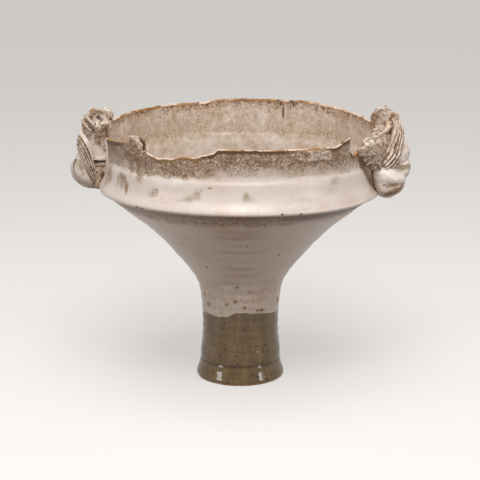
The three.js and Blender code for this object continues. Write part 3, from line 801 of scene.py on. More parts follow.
def under_foot(angle, z):
    """The hollow under the foot, which widens to the ring."""
    return HOLLOW + (RING_INSIDE - HOLLOW) * ease(14, 2, z)


columns = 300
foot = joined([
    ring_of([ROUNDING, 0.25, 0.0], ring_inside, hidden, columns),
    ring_of([0.0], lambda angle, z: RING_OUTSIDE + 0 * z, hidden, columns),
    ring_of([0.25, *heights(0.6, FOOT_TOP, 0.6)], outer_radius, outer_glaze, columns),
    ring_of([FOOT_TOP, 12, 7, 4], under_foot, hidden, columns),
])
skin("foot_ring", *foot, "olive_glaze", tube=True)

stem = joined([
    ring_of(heights(FOOT_TOP, NECK, 0.8), outer_radius, outer_glaze, columns),
    ring_of(heights(NECK, FOOT_TOP, 6), lambda angle, z: through(STEM_HOLLOW, z), hidden, columns),
])
skin("stem", *stem, "olive_glaze", tube=True)

# %% Funnel and collar
SHOULDER = 181
# Below this height the funnel's profile is smooth enough for wide steps
CURVE_START = 173
# The funnel's flat underside, from near the axis to the neck
UNDERSIDE = np.array([[2.0], [33.0]])
FLOOR_STEPS = [102, 100.6, 99.4, 98.6, 98.2]

columns = 420
funnel = joined([
    ring_of([NECK, NECK], lambda angle, z: UNDERSIDE + 0 * z, hidden, columns),
    ring_of(
        [*heights(NECK, CURVE_START, 0.9), *heights(CURVE_START + 0.4, SHOULDER, 0.4)],
        outer_radius, outer_glaze, columns,
    ),
    ring_of([SHOULDER, *heights(180, 104, 1.1), *FLOOR_STEPS], inner_radius, inner_glaze, columns),
])
skin("funnel", *funnel, "white_glaze")

columns = 720
collar = joined([
    ring_of(heights(SHOULDER, 186, 0.5), outer_radius, outer_glaze, columns),
    ring_of(heights(187, COLLAR_TOP, 0.9), outer_radius, outer_glaze, columns),
    ring_of(heights(COLLAR_TOP, SHOULDER, 1.4), inner_radius, inner_glaze, columns),
])
skin("collar", *collar, "white_glaze", tube=True)

# %% [markdown]
# ## The torn strips
#
# A strip is a cross-section carried round the wall: up the inside, over a thin rounded lip, and down the
# outside. Its height at each angle is the tear, so the same rows of the grid stretch and shrink.

# %% Three strips
# Height over which a torn lip is rounded, in mm
LIP = 0.9


def torn_strip(side):
    """Shares of the height from 0 to 1 run up the inside and down the outside. Over the last millimetre
    the two radii draw together, which rounds the lip, and near it the clay is grainy."""
    first, last = TEARS[side][0][0], TEARS[side][-1][0]
    angle = np.linspace(first, last, round((last - first) * 2.2))[:, None]
    top = tear(side, angle)
    up = COLLAR_TOP + (top - LIP * 0.2 - COLLAR_TOP) * np.linspace(0, 1, 42)
    grain = 0.16 * rough(wall_point(angle, RIM, up), 1.6, 51) * ease(7, 1, top - up)
    thinner = 0.62 * ease(LIP, 0, top - up) - grain
    down = up[:, ::-1]
    middle = (inner_radius(angle, top) + outer_radius(angle, top)) / 2
    grid, paint = joined([
        (wall_point(angle, inner_radius(angle, up) + thinner, up), inner_glaze(angle, up)),
        (wall_point(angle, middle, top), outer_glaze(angle, top)),
        (wall_point(angle, outer_radius(angle, down) - thinner[:, ::-1], down), outer_glaze(angle, down)),
    ], 1)
    # The strips' ends are torn too, but behind the left lug they are glazed over
    ends = np.radians(np.minimum(angle - first, last - angle)) * RIM
    covered = ease(-77, -80, angle) + ease(257, 261, angle)
    paint["brown"] = np.maximum(paint["brown"], 0.6 * covered * paint["edge"])
    paint["edge"] = np.maximum(paint["edge"], 0.5 * ease(1.2, 0.2, ends)) * (1 - covered)
    skin(f"rim_strip_{side}", grid, paint, "rim_glaze")


for side in TEARS:
    torn_strip(side)

# %% [markdown]
# ## Pressed clay
#
# The lugs are wads, folds and combed straps of soft clay, pressed on one over another. Three kinds of
# surface make most of them. A lump is an outline that shrinks towards its middle as it turns from back to
# front. A band is a cross-section carried along a curve, with combed ridges if need be. A leaf is a thin
# sheet through a few smooth lines. Each is crumpled by moving its points along the normals by noise: fold
# says how far and size how wide the folds are, both in mm.

# %% Curves in space
def catmull(points, t):
    """The Catmull-Rom cubic through points along axis 0, at positions t counted in points: each span
    leaves a point parallel to the line between that point's neighbours."""
    p = np.concatenate([2 * points[:1] - points[1:2], points, 2 * points[-1:] - points[-2:-1]])
    i = np.minimum(t.astype(int), len(points) - 2)
    u = (t - i).reshape(-1, *(1,) * (points.ndim - 1))
    a, b, c, d = p[i], p[i + 1], p[i + 2], p[i + 3]
    return 0.5 * (2 * b + (c - a) * u + (2 * a - 5 * b + 4 * c - d) * u**2 + (3 * b - a - 3 * c + d) * u**3)


def spine(points, count, joined=False):
    """The same curve at even steps of length. A joined one closes on its first point."""
    p = np.array(points, float)
    lead = 0
    if joined:
        p = np.concatenate([p[-2:], p, p[:3]])
        lead = 2
    last = len(p) - 1 - lead
    dense = catmull(p, np.linspace(lead, last, 20 * (last - lead) + 1))
    length = np.append(0, np.cumsum(np.linalg.norm(np.diff(dense, axis=0), axis=-1)))
    at = np.linspace(0, length[-1], count, endpoint=not joined)
    return np.stack([np.interp(at, length, dense[:, axis]) for axis in range(3)], -1)


# %% Crumpling and glazing
def outward(grid):
    """The step through the columns, 1 or -1, with which the faces look out. It is the sign of the volume
    inside the grid, which is summed from the steps along and round it."""
    middle = grid.reshape(-1, 3).mean(0)
    along = shifted(grid, 1, 0, False) - grid
    around = shifted(grid, 1, 1, True) - grid
    volume = ((grid - middle) * np.cross(around, along)).sum()
    return 1 if volume > 0 else -1


def crumple(grid, size, depth, seed):
    """Moves points along the normals by lumps of a size."""
    return grid + normals(grid) * (depth * rough(grid, size, seed, 2))[..., None]


def hug(grid):
    """Clay that would lie inside the wall is pushed out along the radius, to lie 0.8 mm deep in its skin."""
    x, y, z = np.moveaxis(grid, -1, 0)
    radius = np.hypot(x, y)
    push = np.maximum((through(OUTSIDE, z) - 0.8) / radius, 1)
    return np.stack([x * push, y * push, z], -1)


def spots(*rows):
    """Round stains where the front view shows them: rows of x, z, radius in mm and strength."""
    def strength_at(p):
        """The sum of the strengths times bells round the spots, at the points."""
        return sum(strength * bell((p[..., 0] - x) / r, (p[..., 2] - z) / r) for x, z, r, strength in rows)
    return strength_at


def pressed_glaze(grid, seed, brown=0.1, ridge=0.35, edge=0.0, sharp=0.0, stain=0.0, dark=0.0):
    """Each value is a number or a function of the points. Brown also comes where the clay bulges, bare edge
    where it bulges most, and dark in the hollows as painted shade."""
    brown, edge, stain, dark = (v(grid) if callable(v) else v for v in (brown, edge, stain, dark))
    swell = bulge(grid, 1.8)
    hollow = np.clip(-bulge(grid, 4.0), 0, 1)
    return {
        "brown": np.clip(brown + ridge * np.clip(swell, -0.2, 1) + 0.1 * rough(grid, 6, seed), 0, 1.2),
        "edge": np.clip(edge + sharp * ease(0.25, 0.8, swell), 0, 1),
        "stain": stain + 0.12 * rough(grid, 8, seed + 3),
        "dark": np.clip(dark + 0.5 * hollow, 0, 1),
    }


print("a spot's middle:", spots((1, 2, 3, 0.5))(np.array([1.0, 0, 2])).round(2))

# %% Lumps
def lump(
    name, outline, along, depth, seed, solid=None,
    flat=0.75, fold=0.5, size=7, hugs=False, thumbed=(), **glazing,
):
    """The outline, in x and z, shrinks as the cosine of a turn from -90 to 90 degrees to the power flat,
    while y goes from the back to the front by the sine. Each thumb mark is a bell of x, z, half width and
    half height, that moves the face along its normals."""
    back, front = depth
    edge = spine([(x, along, z) for x, z in outline], 96, joined=True)
    middle = edge.mean(0)
    turn = np.linspace(-math.pi / 2, math.pi / 2, 58)[1:-1, None]
    grid = middle + (edge[None] - middle) * np.cos(turn)[..., None] ** flat
    grid[..., 1] = along - np.sin(turn) * np.where(turn > 0, front, back)
    grid = grid[:, :: outward(grid)]
    for x, z, wide, tall, move in thumbed:
        pressed = move * bell((grid[..., 0] - x) / wide, (grid[..., 2] - z) / tall) * (grid[..., 1] < along)
        grid = grid + normals(grid) * pressed[..., None]
    grid = crumple(crumple(grid, size, fold, seed), 2.5, 0.2 * fold, seed + 7)
    if hugs:
        grid = hug(grid)
    skin(name, grid, pressed_glaze(grid, seed, **glazing), "lug_glaze", solid)


# %% Bands
def combed(share, across, ridges, seed):
    """How deep the comb went: 0 on a ridge and 1 between two, as half of 1 - cos. The lanes wander a
    little, and the grooves are shallow at both sides and patchy along the band."""
    wander = rough(np.stack(np.broadcast_arrays(share * 3, across * 1.3, 0.5), -1) + seed, 0.8, seed)
    lane = across + 0.1 * wander
    patchy = 0.85 + 0.25 * rough(np.stack(np.broadcast_arrays(share * 5, across * 3, 0.5), -1), 0.9, seed + 9)
    return (1 - np.cos((lane + 1) * ridges * math.pi)) / 2 * (1 - across**6) * np.clip(patchy, 0, 1)


def band(
    name, path, widths, depths, faces, seed, solid=None,
    ridges=0, comb=0.0, fold=0.3, size=5, slot="lug_glaze", **glazing,
):
    """Across the band runs u from -1 to 1. Its face stands out by the depth times the root of 1 - 0.8u^2,
    less the combed grooves, and both of its ends are rounded."""
    line = spine(path, 100)
    share = np.linspace(0, 1, len(line))
    run = unit(np.gradient(line, axis=0))
    face = catmull(np.array(faces, float), share * (len(faces) - 1))
    face = unit(face - run * (face * run).sum(-1, keepdims=True))
    side = np.cross(run, face)
    half, deep = (through(np.stack([np.linspace(0, 1, len(v)), v], -1), share) for v in (widths, depths))
    half = half / 2
    length = np.linalg.norm(np.diff(line, axis=0), axis=-1).sum()
    end = np.clip(np.minimum(share, 1 - share) * length / np.maximum(half * 0.8, 1), 0, 1)
    rounded = quarter(end) * 0.97 + 0.03
    u = np.linspace(-1, 1, 64)
    furrow = np.zeros((len(line), len(u)))
    if ridges:
        furrow = combed(share[:, None], u, ridges, seed) * (half / half.max())[:, None] ** 0.4
    bow = (deep * rounded)[:, None] * np.sqrt(1 - 0.8 * u**2)
    across = side[:, None] * ((half * rounded)[:, None] * u)[..., None]
    front, back = (
        line[:, None] + across + face[:, None] * height[..., None]
        for height in (bow - comb * furrow * rounded[:, None], -bow)
    )
    grid = np.concatenate([front, back[:, ::-1]], 1)
    furrow = np.concatenate([furrow, 0 * furrow], 1)
    step = outward(grid)
    grid, furrow = grid[:, ::step], furrow[:, ::step]
    grid = crumple(grid, size, fold, seed)
    paint = pressed_glaze(grid, seed, **glazing)
    if ridges:
        # The combed grooves are brown where the glaze ran thin, and their bottoms are dark as painted shade
        paint["brown"] = paint["brown"] + 1.1 * furrow**0.8
        paint["dark"] = np.clip(paint["dark"] + furrow**2 * (0.9 + 0.5 * rough(grid, 4, seed + 5)), 0, 1)
    skin(name, grid, paint, slot, solid)


# %% Leaves
def square_to(sheet):
    """Normals of a sheet: the cross product of the steps down and across."""
    return unit(np.cross(np.gradient(sheet, axis=0), np.gradient(sheet, axis=1)))


# How far small noise in all directions moves a leaf's points, in mm, so that its borders are ragged
RAGGED = 0.3


def leaf(
    name, rails, thickness, seed, solid=None,
    torn=(0, 1, 0, 0), fold=0.5, size=8, slot="lug_glaze", **glazing,
):
    """Each rail is a smooth line, and a second smooth line runs across through the rails. The sheet is
    thickened along its normals and rounded over its last millimetre. The torn values say how torn the
    first rail, the last rail, the rails' starts and their ends are."""
    lines = np.stack([spine(rail, 84) for rail in rails])
    sheet = catmull(lines, np.linspace(0, len(rails) - 1, 72))
    waves = fold * rough(sheet, size, seed) + 0.25 * fold * rough(sheet, 3, seed + 1)
    sheet = sheet + square_to(sheet) * waves[..., None]
    sheet = sheet + RAGGED * np.stack([rough(sheet, 2.4, seed + 11 + axis, 1) for axis in range(3)], -1)
    down = np.cumsum(np.linalg.norm(np.diff(sheet, axis=0, prepend=sheet[:1]), axis=-1), 0)
    over = np.cumsum(np.linalg.norm(np.diff(sheet, axis=1, prepend=sheet[:, :1]), axis=-1), 1)
    borders = np.stack([down, down[-1:] - down, over, over[:, -1:] - over])
    end = np.clip(borders.min(0) / 1.3, 0, 1)
    half = square_to(sheet) * (thickness / 2 * (quarter(end) * 0.95 + 0.05))[..., None]
    grid = np.concatenate([sheet + half, (sheet - half)[:, ::-1]], 1)
    ragged = (ease(1.8, 0.4, borders) * np.array(torn).reshape(-1, 1, 1)).max(0)
    ragged = np.concatenate([ragged, ragged[:, ::-1]], 1)
    step = outward(grid)
    grid, ragged = grid[:, ::step], ragged[:, ::step]
    paint = pressed_glaze(grid, seed, **glazing)
    paint["edge"] = np.maximum(paint["edge"], ragged)
    paint["brown"] = np.maximum(paint["brown"], 0.8 * ragged)
    skin(name, grid, paint, slot, solid)


# %% [markdown]
# ## The left lug
#
# Seen from the front it is a smooth core against the wall, with an oval pad low on the outside whose
# second layer shows behind it. A combed strap comes round from behind and sweeps down to a stained tip,
# with a plain roll over it. The crown is of two torn sheets, one before the other, with two small ridges
# beside them, and it leans over the rim.

# %% Left lug: core, pad and fold
# Outlines seen from the front, as x and z
CORE = [
    (-145, 237), (-136, 239.5), (-122, 239), (-114, 228), (-112, 206), (-114, 190), (-128, 178),
    (-138, 178), (-143.5, 190), (-145, 208), (-145.5, 224),
]
PAD = [
    (-155, 196.8), (-154.2, 202.6), (-151.4, 208.4), (-149.2, 214), (-147, 214.5), (-144.5, 210),
    (-141.5, 203), (-139, 195), (-136.5, 187), (-134, 181.2), (-138.6, 180.8), (-144, 182.2),
    (-149.2, 185.4), (-153, 190.4),
]
FOLD = [
    (-157.6, 195.5), (-156.4, 200.8), (-153.2, 204.4), (-147, 205), (-141, 202), (-137, 188), (-133, 178.2),
    (-138.8, 177.2), (-145.4, 178.6), (-151.3, 182.2), (-156, 188.4),
]
# Left border of the core's mottled part: height and x
MOTTLED = [
    (200, -112), (209, -119), (213, -125), (217, -129.5), (221, -133), (226, -134), (232, -133.5),
    (240, -133),
]


def core_brown(p):
    """Mottle to the right of a border that leans with the height, in streaks that run down."""
    streaks = 1 + 0.5 * rough(p * STREAKED, 1.8, 102)
    return 0.04 + 0.5 * ease(-1.5, 1.5, p[..., 0] - through(MOTTLED, p[..., 2])) * streaks


def pad_crease_shade(p):
    """The pad is painted dark, as shade, where it turns back to the fold, below its shoulder and left of its
    middle.
    """
    return 0.85 * ease(-2.4, 0.4, p[..., 1]) * ease(209, 204, p[..., 2]) * ease(-138, -145, p[..., 0])


lump(
    "left_lug_core", CORE, along=15, depth=(15, 15), seed=101, flat=0.6, fold=1.0, size=8, hugs=True,
    thumbed=[
        (-126, 222, 3, 8, -1.5), (-131, 229, 2, 5, 1.2), (-138, 228, 4, 6, -1.5),
        (-133.5, 235, 3, 1.6, 1.6),
    ],
    brown=core_brown,
    stain=spots((-126, 235.5, 4, 1.4), (-139, 226, 6, 0.7)),
    dark=spots((-124.3, 231.5, 1.5, 0.7), (-135.5, 231.5, 1.4, 0.8)),
)
lump(
    "left_lug_pad", PAD, along=6, depth=(11, 11), seed=111, flat=0.62, fold=0.4, size=9, brown=0.03,
    thumbed=[(-148, 209, 4, 5, -1.2)],
    stain=spots((-145.6, 198.5, 2.2, 1.3), (-147.4, 204, 3, 1), (-144.4, 193, 1.6, 1), (-150, 201, 4, 0.5)),
    dark=pad_crease_shade,
)
lump(
    "left_lug_fold", FOLD, along=9, depth=(8, 7.5), seed=121, flat=0.42, fold=0.35, size=6, brown=0.06,
    stain=lambda p: 0.25 * ease(190, 182, p[..., 2]),
)

# %% Left lug: strap, roll, lips and tip
band(
    "left_lug_strap",
    [
        (-143, 13, 222), (-146.6, 6, 223.5), (-147, 0, 222.8), (-144.2, -3.5, 219.2), (-140.4, -5.5, 210.8),
        (-138, -5.5, 202.2), (-135.4, -3.5, 192.5), (-133.6, 0, 185),
    ],
    widths=[12, 15, 15.5, 13, 9.5, 7.5, 6, 4], depths=[2.6, 3.2, 3.6, 3.8, 3.4, 3, 2.6, 2],
    faces=[
        (-0.9, 0.5, 0.1), (-1, -0.2, 0.1), (-0.7, -0.7, 0.2), (-0.2, -1, 0.2), (0, -1, 0), (0, -1, -0.2),
    ],
    seed=131, ridges=4, comb=1.9, size=7, ridge=0.0, brown=0.12,
    stain=spots((-147, 224, 5, 0.9), (-147, 229, 3, 0.8)),
    edge=spots((-143, 217, 3.4, 0.55), (-138.5, 205, 2, 0.4)),
    dark=spots((-135.1, 197.6, 0.9, 1.2), (-137.2, 199.5, 0.8, 1), (-134.3, 192.2, 0.9, 1)),
)
band(
    "left_lug_roll",
    [
        (-141, 11, 231.5), (-146.4, 4.5, 230.8), (-145.2, -2.5, 229.2), (-141.4, -5.5, 225.4),
        (-138.6, -6.5, 220.6), (-136.8, -6, 214.8), (-136, -3.5, 208),
    ],
    widths=[4.6, 4.8, 4.4, 4, 3.7, 3.2, 2.2], depths=[2.4, 2.4, 2.1, 1.9, 1.8, 1.5, 1],
    faces=[(-0.9, 0.3, 0.4), (-0.3, -0.8, 0.5), (0, -1, 0.3), (0.1, -1, 0), (0.2, -1, 0)], seed=141,
    fold=0.35, size=6, ridge=0.15, brown=0.09,
)
# Outlines as x and z
LIP_SHELF = [
    (-137, 205.8), (-130, 208.2), (-124, 211), (-118.5, 213), (-118.5, 207), (-121.5, 206), (-125.5, 204.5),
    (-131, 204.5),
]
LIP_BELOW = [(-136, 202), (-128, 204.2), (-119, 205), (-119, 201), (-127, 198.4), (-134, 199.4)]
TIP = [(-135, 204), (-120, 204), (-121, 192), (-129, 180), (-133.5, 178.4), (-137, 190)]


def level(p, slope):
    """The height, plus a slope times the distance to the right of the lips' middle."""
    return p[..., 2] + slope * (p[..., 0] + 127)


def tip_brown(p):
    """Brown all over, more at the point, and more in the recess at the right, where it is painted shade."""
    recess = 0.45 * ease(-131, -128, p[..., 0]) * ease(197.5, 195, p[..., 2])
    return 0.28 + recess + 0.3 * ease(190, 186, p[..., 2])


# The lip's dark underside is painted shade under its shelf
lump(
    "left_lug_lip", LIP_SHELF, along=-0.5, depth=(7, 4.6), seed=151, fold=0.4, size=4,
    dark=lambda p: 0.8 * ease(206.6, 205, level(p, 0.06)),
)
lump(
    "left_lug_lip_second_layer", LIP_BELOW, along=-0.2, depth=(7, 4), seed=152, solid="left_lug_lip",
    fold=0.25, size=4, stain=0.9,
    brown=lambda p: 0.4 + 0.45 * np.sin((level(p, -0.05) - 200) * 2.4),
)
lump(
    "left_lug_tip", TIP, along=3, depth=(6, 6.5), seed=161, fold=0.35, size=5, stain=0.8, ridge=-0.2,
    brown=tip_brown,
    dark=spots(
        (-126.5, 192, 2.8, 1), (-125.5, 188, 2, 0.7), (-134.3, 197.2, 1, 0.9), (-131.8, 194.6, 1, 1),
        (-133.6, 190.6, 1, 0.8),
    ),
    edge=spots((-131, 187.5, 1.4, 0.6)),
)

# %% Left lug: crown
leaf(
    "left_lug_crown_leaf",
    [
        [(-131, 12, 230), (-125, 9, 230.5), (-118.5, 11, 232)],
        [(-130, 11, 239), (-124, 7, 240), (-117.8, 9, 240.5)],
        [(-128, 9.5, 247), (-122.5, 6.5, 248), (-117.2, 9.5, 246.5)],
        [(-126, 8.5, 254), (-122.7, 7.8, 253), (-118.4, 9.8, 249.9)],
    ],
    thickness=3.4, seed=171, solid="left_lug_crown", torn=(0, 0.3, 0.2, 0.3), fold=0.4, size=7,
    stain=spots((-123.5, 248.6, 2.2, 1.3), (-119, 246, 2, 0.7), (-124, 236, 4, 1)),
    dark=spots((-119.3, 242.6, 1.3, 1.2)),
)
leaf(
    "left_lug_crown_fold",
    [
        [(-144, 9, 233), (-139, 8, 228), (-132, 7, 227), (-126, 8, 228), (-120.5, 11, 230)],
        [(-145.4, 4.5, 238), (-139, 3.2, 234.5), (-132.5, 1.2, 234), (-126.5, 2, 235), (-120.5, 7, 236.5)],
        [
            (-144.4, 3.5, 242.4), (-138.5, 2.2, 240.5), (-132, 3.4, 239.5), (-126, 3.4, 240.5),
            (-121, 7.5, 240.8),
        ],
        [
            (-142, 3, 246.4), (-137.5, 1.6, 246), (-131.5, 5.6, 244.8), (-126.5, 4.8, 245.4),
            (-122, 8.5, 244.5),
        ],
        [(-139.2, 3, 249.6), (-135.2, 1, 253), (-131.5, 2, 252.2), (-128, 4, 251.2), (-124, 7, 249.4)],
    ],
    thickness=3.0, seed=172, solid="left_lug_crown", torn=(0, 0.35, 0.3, 0), fold=0.35, size=7,
    brown=lambda p: 0.1 + spots((-140.5, 238, 4.5, 0.9), (-136, 244, 3, 0.35), (-129, 236.5, 3, 0.3))(p),
    stain=spots((-135.5, 249.4, 2.6, 1.4), (-128, 249, 3.4, 1.3), (-127, 236, 4, 1.2), (-130, 241, 3, 0.6)),
    dark=spots(
        (-129.8, 244.2, 1.8, 1.4), (-127, 242, 1.5, 1), (-134.8, 233, 1.4, 0.9), (-133, 238.4, 1.2, 1.1),
        (-133.3, 247.5, 1, 0.8),
    ),
    edge=spots(
        (-135, 252, 2.2, 0.75), (-139.5, 239.8, 2.4, 0.6), (-141.6, 236.5, 2.4, 0.6),
        (-137.5, 247, 2, 0.45),
    ),
)
# Middle line of the first ridge. The second is moved to the left and down
CREST = [(-142.3, 3.5, 247), (-140, 0, 245), (-136.6, -3, 241.3), (-133, -4.5, 237)]
for number, (shift, drop, wide) in enumerate([(0, 0, 2.3), (-3.2, -4.8, 2.6)]):
    band(
        f"left_lug_crown_ridge_{number + 1}", [(x + shift, y, z + drop) for x, y, z in CREST],
        widths=[0.7 * wide, wide, wide, 0.6 * wide], depths=[1.2, 1.7, 1.7, 1.0],
        faces=[(-0.3, -0.9, 0.4)] * 3, seed=173 + number, solid="left_lug_crown", size=3, brown=0.05,
        edge=spots((-140 + shift, 242.5 + drop, 1.4, 0.5)),
    )

# %% [markdown]
# ## The right lug
#
# A crumpled mass is spread on the wall from the notch round to the side. A folded leaf stands up behind
# it, and its near side comes down beside a combed strap. Two knobs sit outside, and at the bottom hangs a
# heavy drop, where the glaze pooled thick and white.

# %% Right lug: the mass on the wall
# Angle, height of the lower and the upper edge, and thickness
BODY = [
    (56.5, 224.5, 226.5, 1.5), (59, 219.5, 230, 4), (63, 212.5, 232.5, 8), (68, 206.5, 233.5, 11.5),
    (74, 202, 235, 14.5), (80, 200, 236, 18), (86, 200, 236, 20), (92, 204, 233, 18), (98, 211, 228, 10),
    (101, 215, 224, 3),
]


def at_angles(rows, count):
    """Even angles from the first row to the last, and what the other columns of the rows say there."""
    rows = np.array(rows, float)
    angle = np.linspace(rows[0, 0], rows[-1, 0], count)[:, None]
    return angle, *(through(rows[:, [0, column]], angle) for column in range(1, rows.shape[1]))


def spread(name, rows, seed, **glazing):
    """A mass that lies on the wall: at each angle its section is half an oval from its lower to its upper
    edge, standing out by its thickness, and its back lies just inside the wall. Folds are the smooth tops
    of a slow noise and small lumps sit on them."""
    angle, low, high, thick = at_angles(rows, 150)
    turn = np.linspace(0, math.pi, 90)[None]
    z = low + (high - low) * (1 - np.cos(turn)) / 2
    face = wall_point(angle, through(OUTSIDE, z) + thick * np.sin(turn) ** 0.7, z)
    back = wall_point(angle, through(OUTSIDE, z) - 0.8, z)[:, ::-1][:, 1:-1:3]
    grid = np.concatenate([face, back], 1)
    grid = grid[:, :: outward(grid)]
    folds = rough(grid, 13, seed) - 1.1 * np.abs(rough(grid, 7, seed + 2, 1))
    lumps = 0.55 * rough(grid, 3.2, seed + 4)
    grid = hug(grid + normals(grid) * (folds + lumps)[..., None])
    skin(name, grid, pressed_glaze(grid, seed, **glazing), "lug_glaze")


def body_brown(p):
    """Mottle that begins at a wavering height, and a browner place above the drop, which is painted shade
    beside the strap.
    """
    mottle = (0.5 + 0.3 * rough(p, 3, 203)) * ease(203, 212, p[..., 2] + 2.5 * rough(p, 6, 202))
    return 0.03 + mottle + 0.3 * ease(127, 133, p[..., 0]) * ease(204, 208, p[..., 2])


def body_shade(p):
    """Painted shade where the mass meets the wall, and in small hollows."""
    proud = np.hypot(p[..., 0], p[..., 1]) - through(OUTSIDE, p[..., 2])
    hollows = spots(
        (111.9, 236, 1.6, 1), (119.1, 232, 1.6, 0.6), (123.7, 226, 1.6, 0.6), (122, 213.5, 1.6, 0.6),
        (129, 209, 2.6, 0.5),
    )
    return 0.7 * ease(3, 0.5, proud) * ease(222, 216, p[..., 2]) + hollows(p)


spread("right_lug_body", BODY, seed=201, ridge=-0.5, stain=0.2, brown=body_brown, dark=body_shade)
band(
    "right_lug_body_curl", [(110, -57, 229), (114, -53, 226), (119, -49, 226.5), (122, -45, 231)],
    widths=[1.6, 2.2, 2.2, 1.6], depths=[1.2, 1.7, 1.7, 1.2], faces=[(0.4, -0.9, 0.3)] * 3, seed=205,
    solid="right_lug_body", fold=0.7, size=3, brown=0.12,
)
band(
    "right_lug_body_fold", [(111, -56, 211), (116, -52, 213.5), (121.5, -47, 211), (125, -43, 205)],
    widths=[1.6, 2.6, 2.6, 1.8], depths=[1.1, 1.7, 1.7, 1.1], faces=[(0.4, -0.9, 0.2)] * 3, seed=206,
    solid="right_lug_body", fold=0.7, size=3,
)

# %% Right lug: leaf and strap
leaf(
    "right_lug_leaf",
    [
        [(127.4, 4, 226), (131, 3, 226), (136, 0, 228)],
        [(124.2, 7, 236.8), (130.5, 7, 236), (138, 1, 233)],
        [(119.9, 7.5, 240.2), (129, 7.4, 241), (137.4, 1, 238.5)],
        [(119.7, 4.6, 245.4), (129, 6.8, 246), (138.2, 0.5, 243)],
        [(122.3, 4, 249.8), (130, 6.2, 250.8), (139.5, 0, 246.8)],
        [
            (126.2, 4, 251.8), (129.5, 4.4, 253.5), (132.9, 4.8, 254.9), (134.6, 4.6, 254.6),
            (138.2, 2.4, 251.4), (141.4, 1, 248.4),
        ],
    ],
    thickness=3.0, seed=211, torn=(0, 0.42, 0.4, 0.7), brown=0.32, stain=0.5, fold=0.35,
    dark=spots((137.8, 243.5, 1.2, 1), (136.4, 237.5, 1.2, 1)),
)
leaf(
    "right_lug_leaf_side",
    [
        [(140.5, 0, 249.5), (137.5, -5, 244), (135.2, -8, 239.5), (137, -12, 234.5), (134, -18, 230)],
        [(142.2, -4, 248.4), (141, -10, 241), (140, -15, 235), (139, -20, 227), (136, -26, 219)],
        [(142.4, 1, 248), (144.4, -4, 240), (145.4, -8, 232), (146, -10, 224), (145.6, -14, 214)],
        [(141, 6, 246), (143.8, 4, 238), (145.2, 3, 230), (145.6, 2, 222), (144, 0, 212)],
    ],
    thickness=3.0, seed=212, solid="right_lug_leaf", torn=(0.9, 0, 0.8, 0), size=6, ridge=0.2,
    brown=lambda p: 0.04 + 0.6 * ease(144.2, 141.4, p[..., 0] + 0.1 * (240 - p[..., 2])),
    dark=spots((137.5, 241.5, 1.3, 1), (136, 236, 1.3, 0.9), (139.5, 238, 1.6, 0.5)),
)
band(
    "right_lug_strap",
    [(144, -11, 244), (142.6, -19.5, 232.5), (139.6, -28, 222), (134.2, -36, 213), (126.4, -42, 206)],
    widths=[5, 10, 14, 15, 11], depths=[2.4, 3.8, 4.4, 4.2, 2.8],
    faces=[(0.5, -0.85, 0.1), (0.4, -0.9, 0.1), (0.3, -0.95, 0.1), (0.1, -1, 0.1)], seed=221, ridges=4,
    comb=1.9, fold=0.9, ridge=0.05, brown=0.12,
    stain=spots((136, 226, 4, 0.9), (134, 221, 3, 0.8)),
)
band(
    "right_lug_lip",
    [
        (105.8, -60, 226.5), (110.5, -53, 233), (117, -45, 233.3), (122.2, -37, 233.6), (127.6, -29, 234.8),
        (132.5, -21, 238), (135.5, -12, 243),
    ],
    widths=[3, 4.2, 3.6, 4.2, 3.6, 4.0, 3.4], depths=[1.4, 1.9, 1.6, 2.0, 1.7, 2.0, 1.6],
    faces=[(0, -0.6, 0.8)] * 4, seed=231, fold=0.9, size=3.5, sharp=0.3, brown=0.15,
    edge=spots((107, 229, 2.5, 1), (113.5, 236, 2, 0.8), (134, 240, 4, 0.9)),
    dark=spots((116, 236.5, 1.5, 1), (121, 236, 1.3, 0.9)),
)

# %% Right lug: knobs and drop
# Outlines as x and z
UPPER_KNOB = [
    (140, 221), (148.1, 225), (151.8, 221.8), (153.7, 216.8), (152.9, 211.3), (150, 206.5), (141, 207),
]
LOWER_KNOB = [
    (133, 202), (139, 210.5), (147.3, 211), (151.4, 208.9), (153.8, 202.5), (152.6, 196.9), (149.5, 192.3),
    (142.4, 190.5), (134, 193),
]
SADDLE = [
    (134, 196), (136, 208), (139.5, 217), (144, 223), (149.5, 221), (151.6, 213), (150.5, 207.5),
    (152, 201), (148.5, 194), (140, 191),
]
DROP = [
    (120.5, 184), (118.4, 192), (117.2, 200), (117.4, 206), (120.5, 211), (127, 212.5), (134, 208.5),
    (140.8, 203), (147.2, 197.8), (149, 191.2), (146.6, 184.8), (140.4, 179.2), (133.3, 176.5),
    (125.5, 178.5),
]


def drop_brown(p):
    """Brown runs down over the top of the drop, and lies in spots along its lower edge."""
    runs = 0.45 * ease(203, 209, p[..., 2] + 2 * rough(p * (1, 1, 0.3), 2.5, 264))
    edge = spots((134, 183.8, 3.4, 0.9), (139, 186.2, 3.2, 1), (143, 188, 2.4, 0.9), (130.5, 181.4, 2.6, 0.7))
    return runs + edge(p)


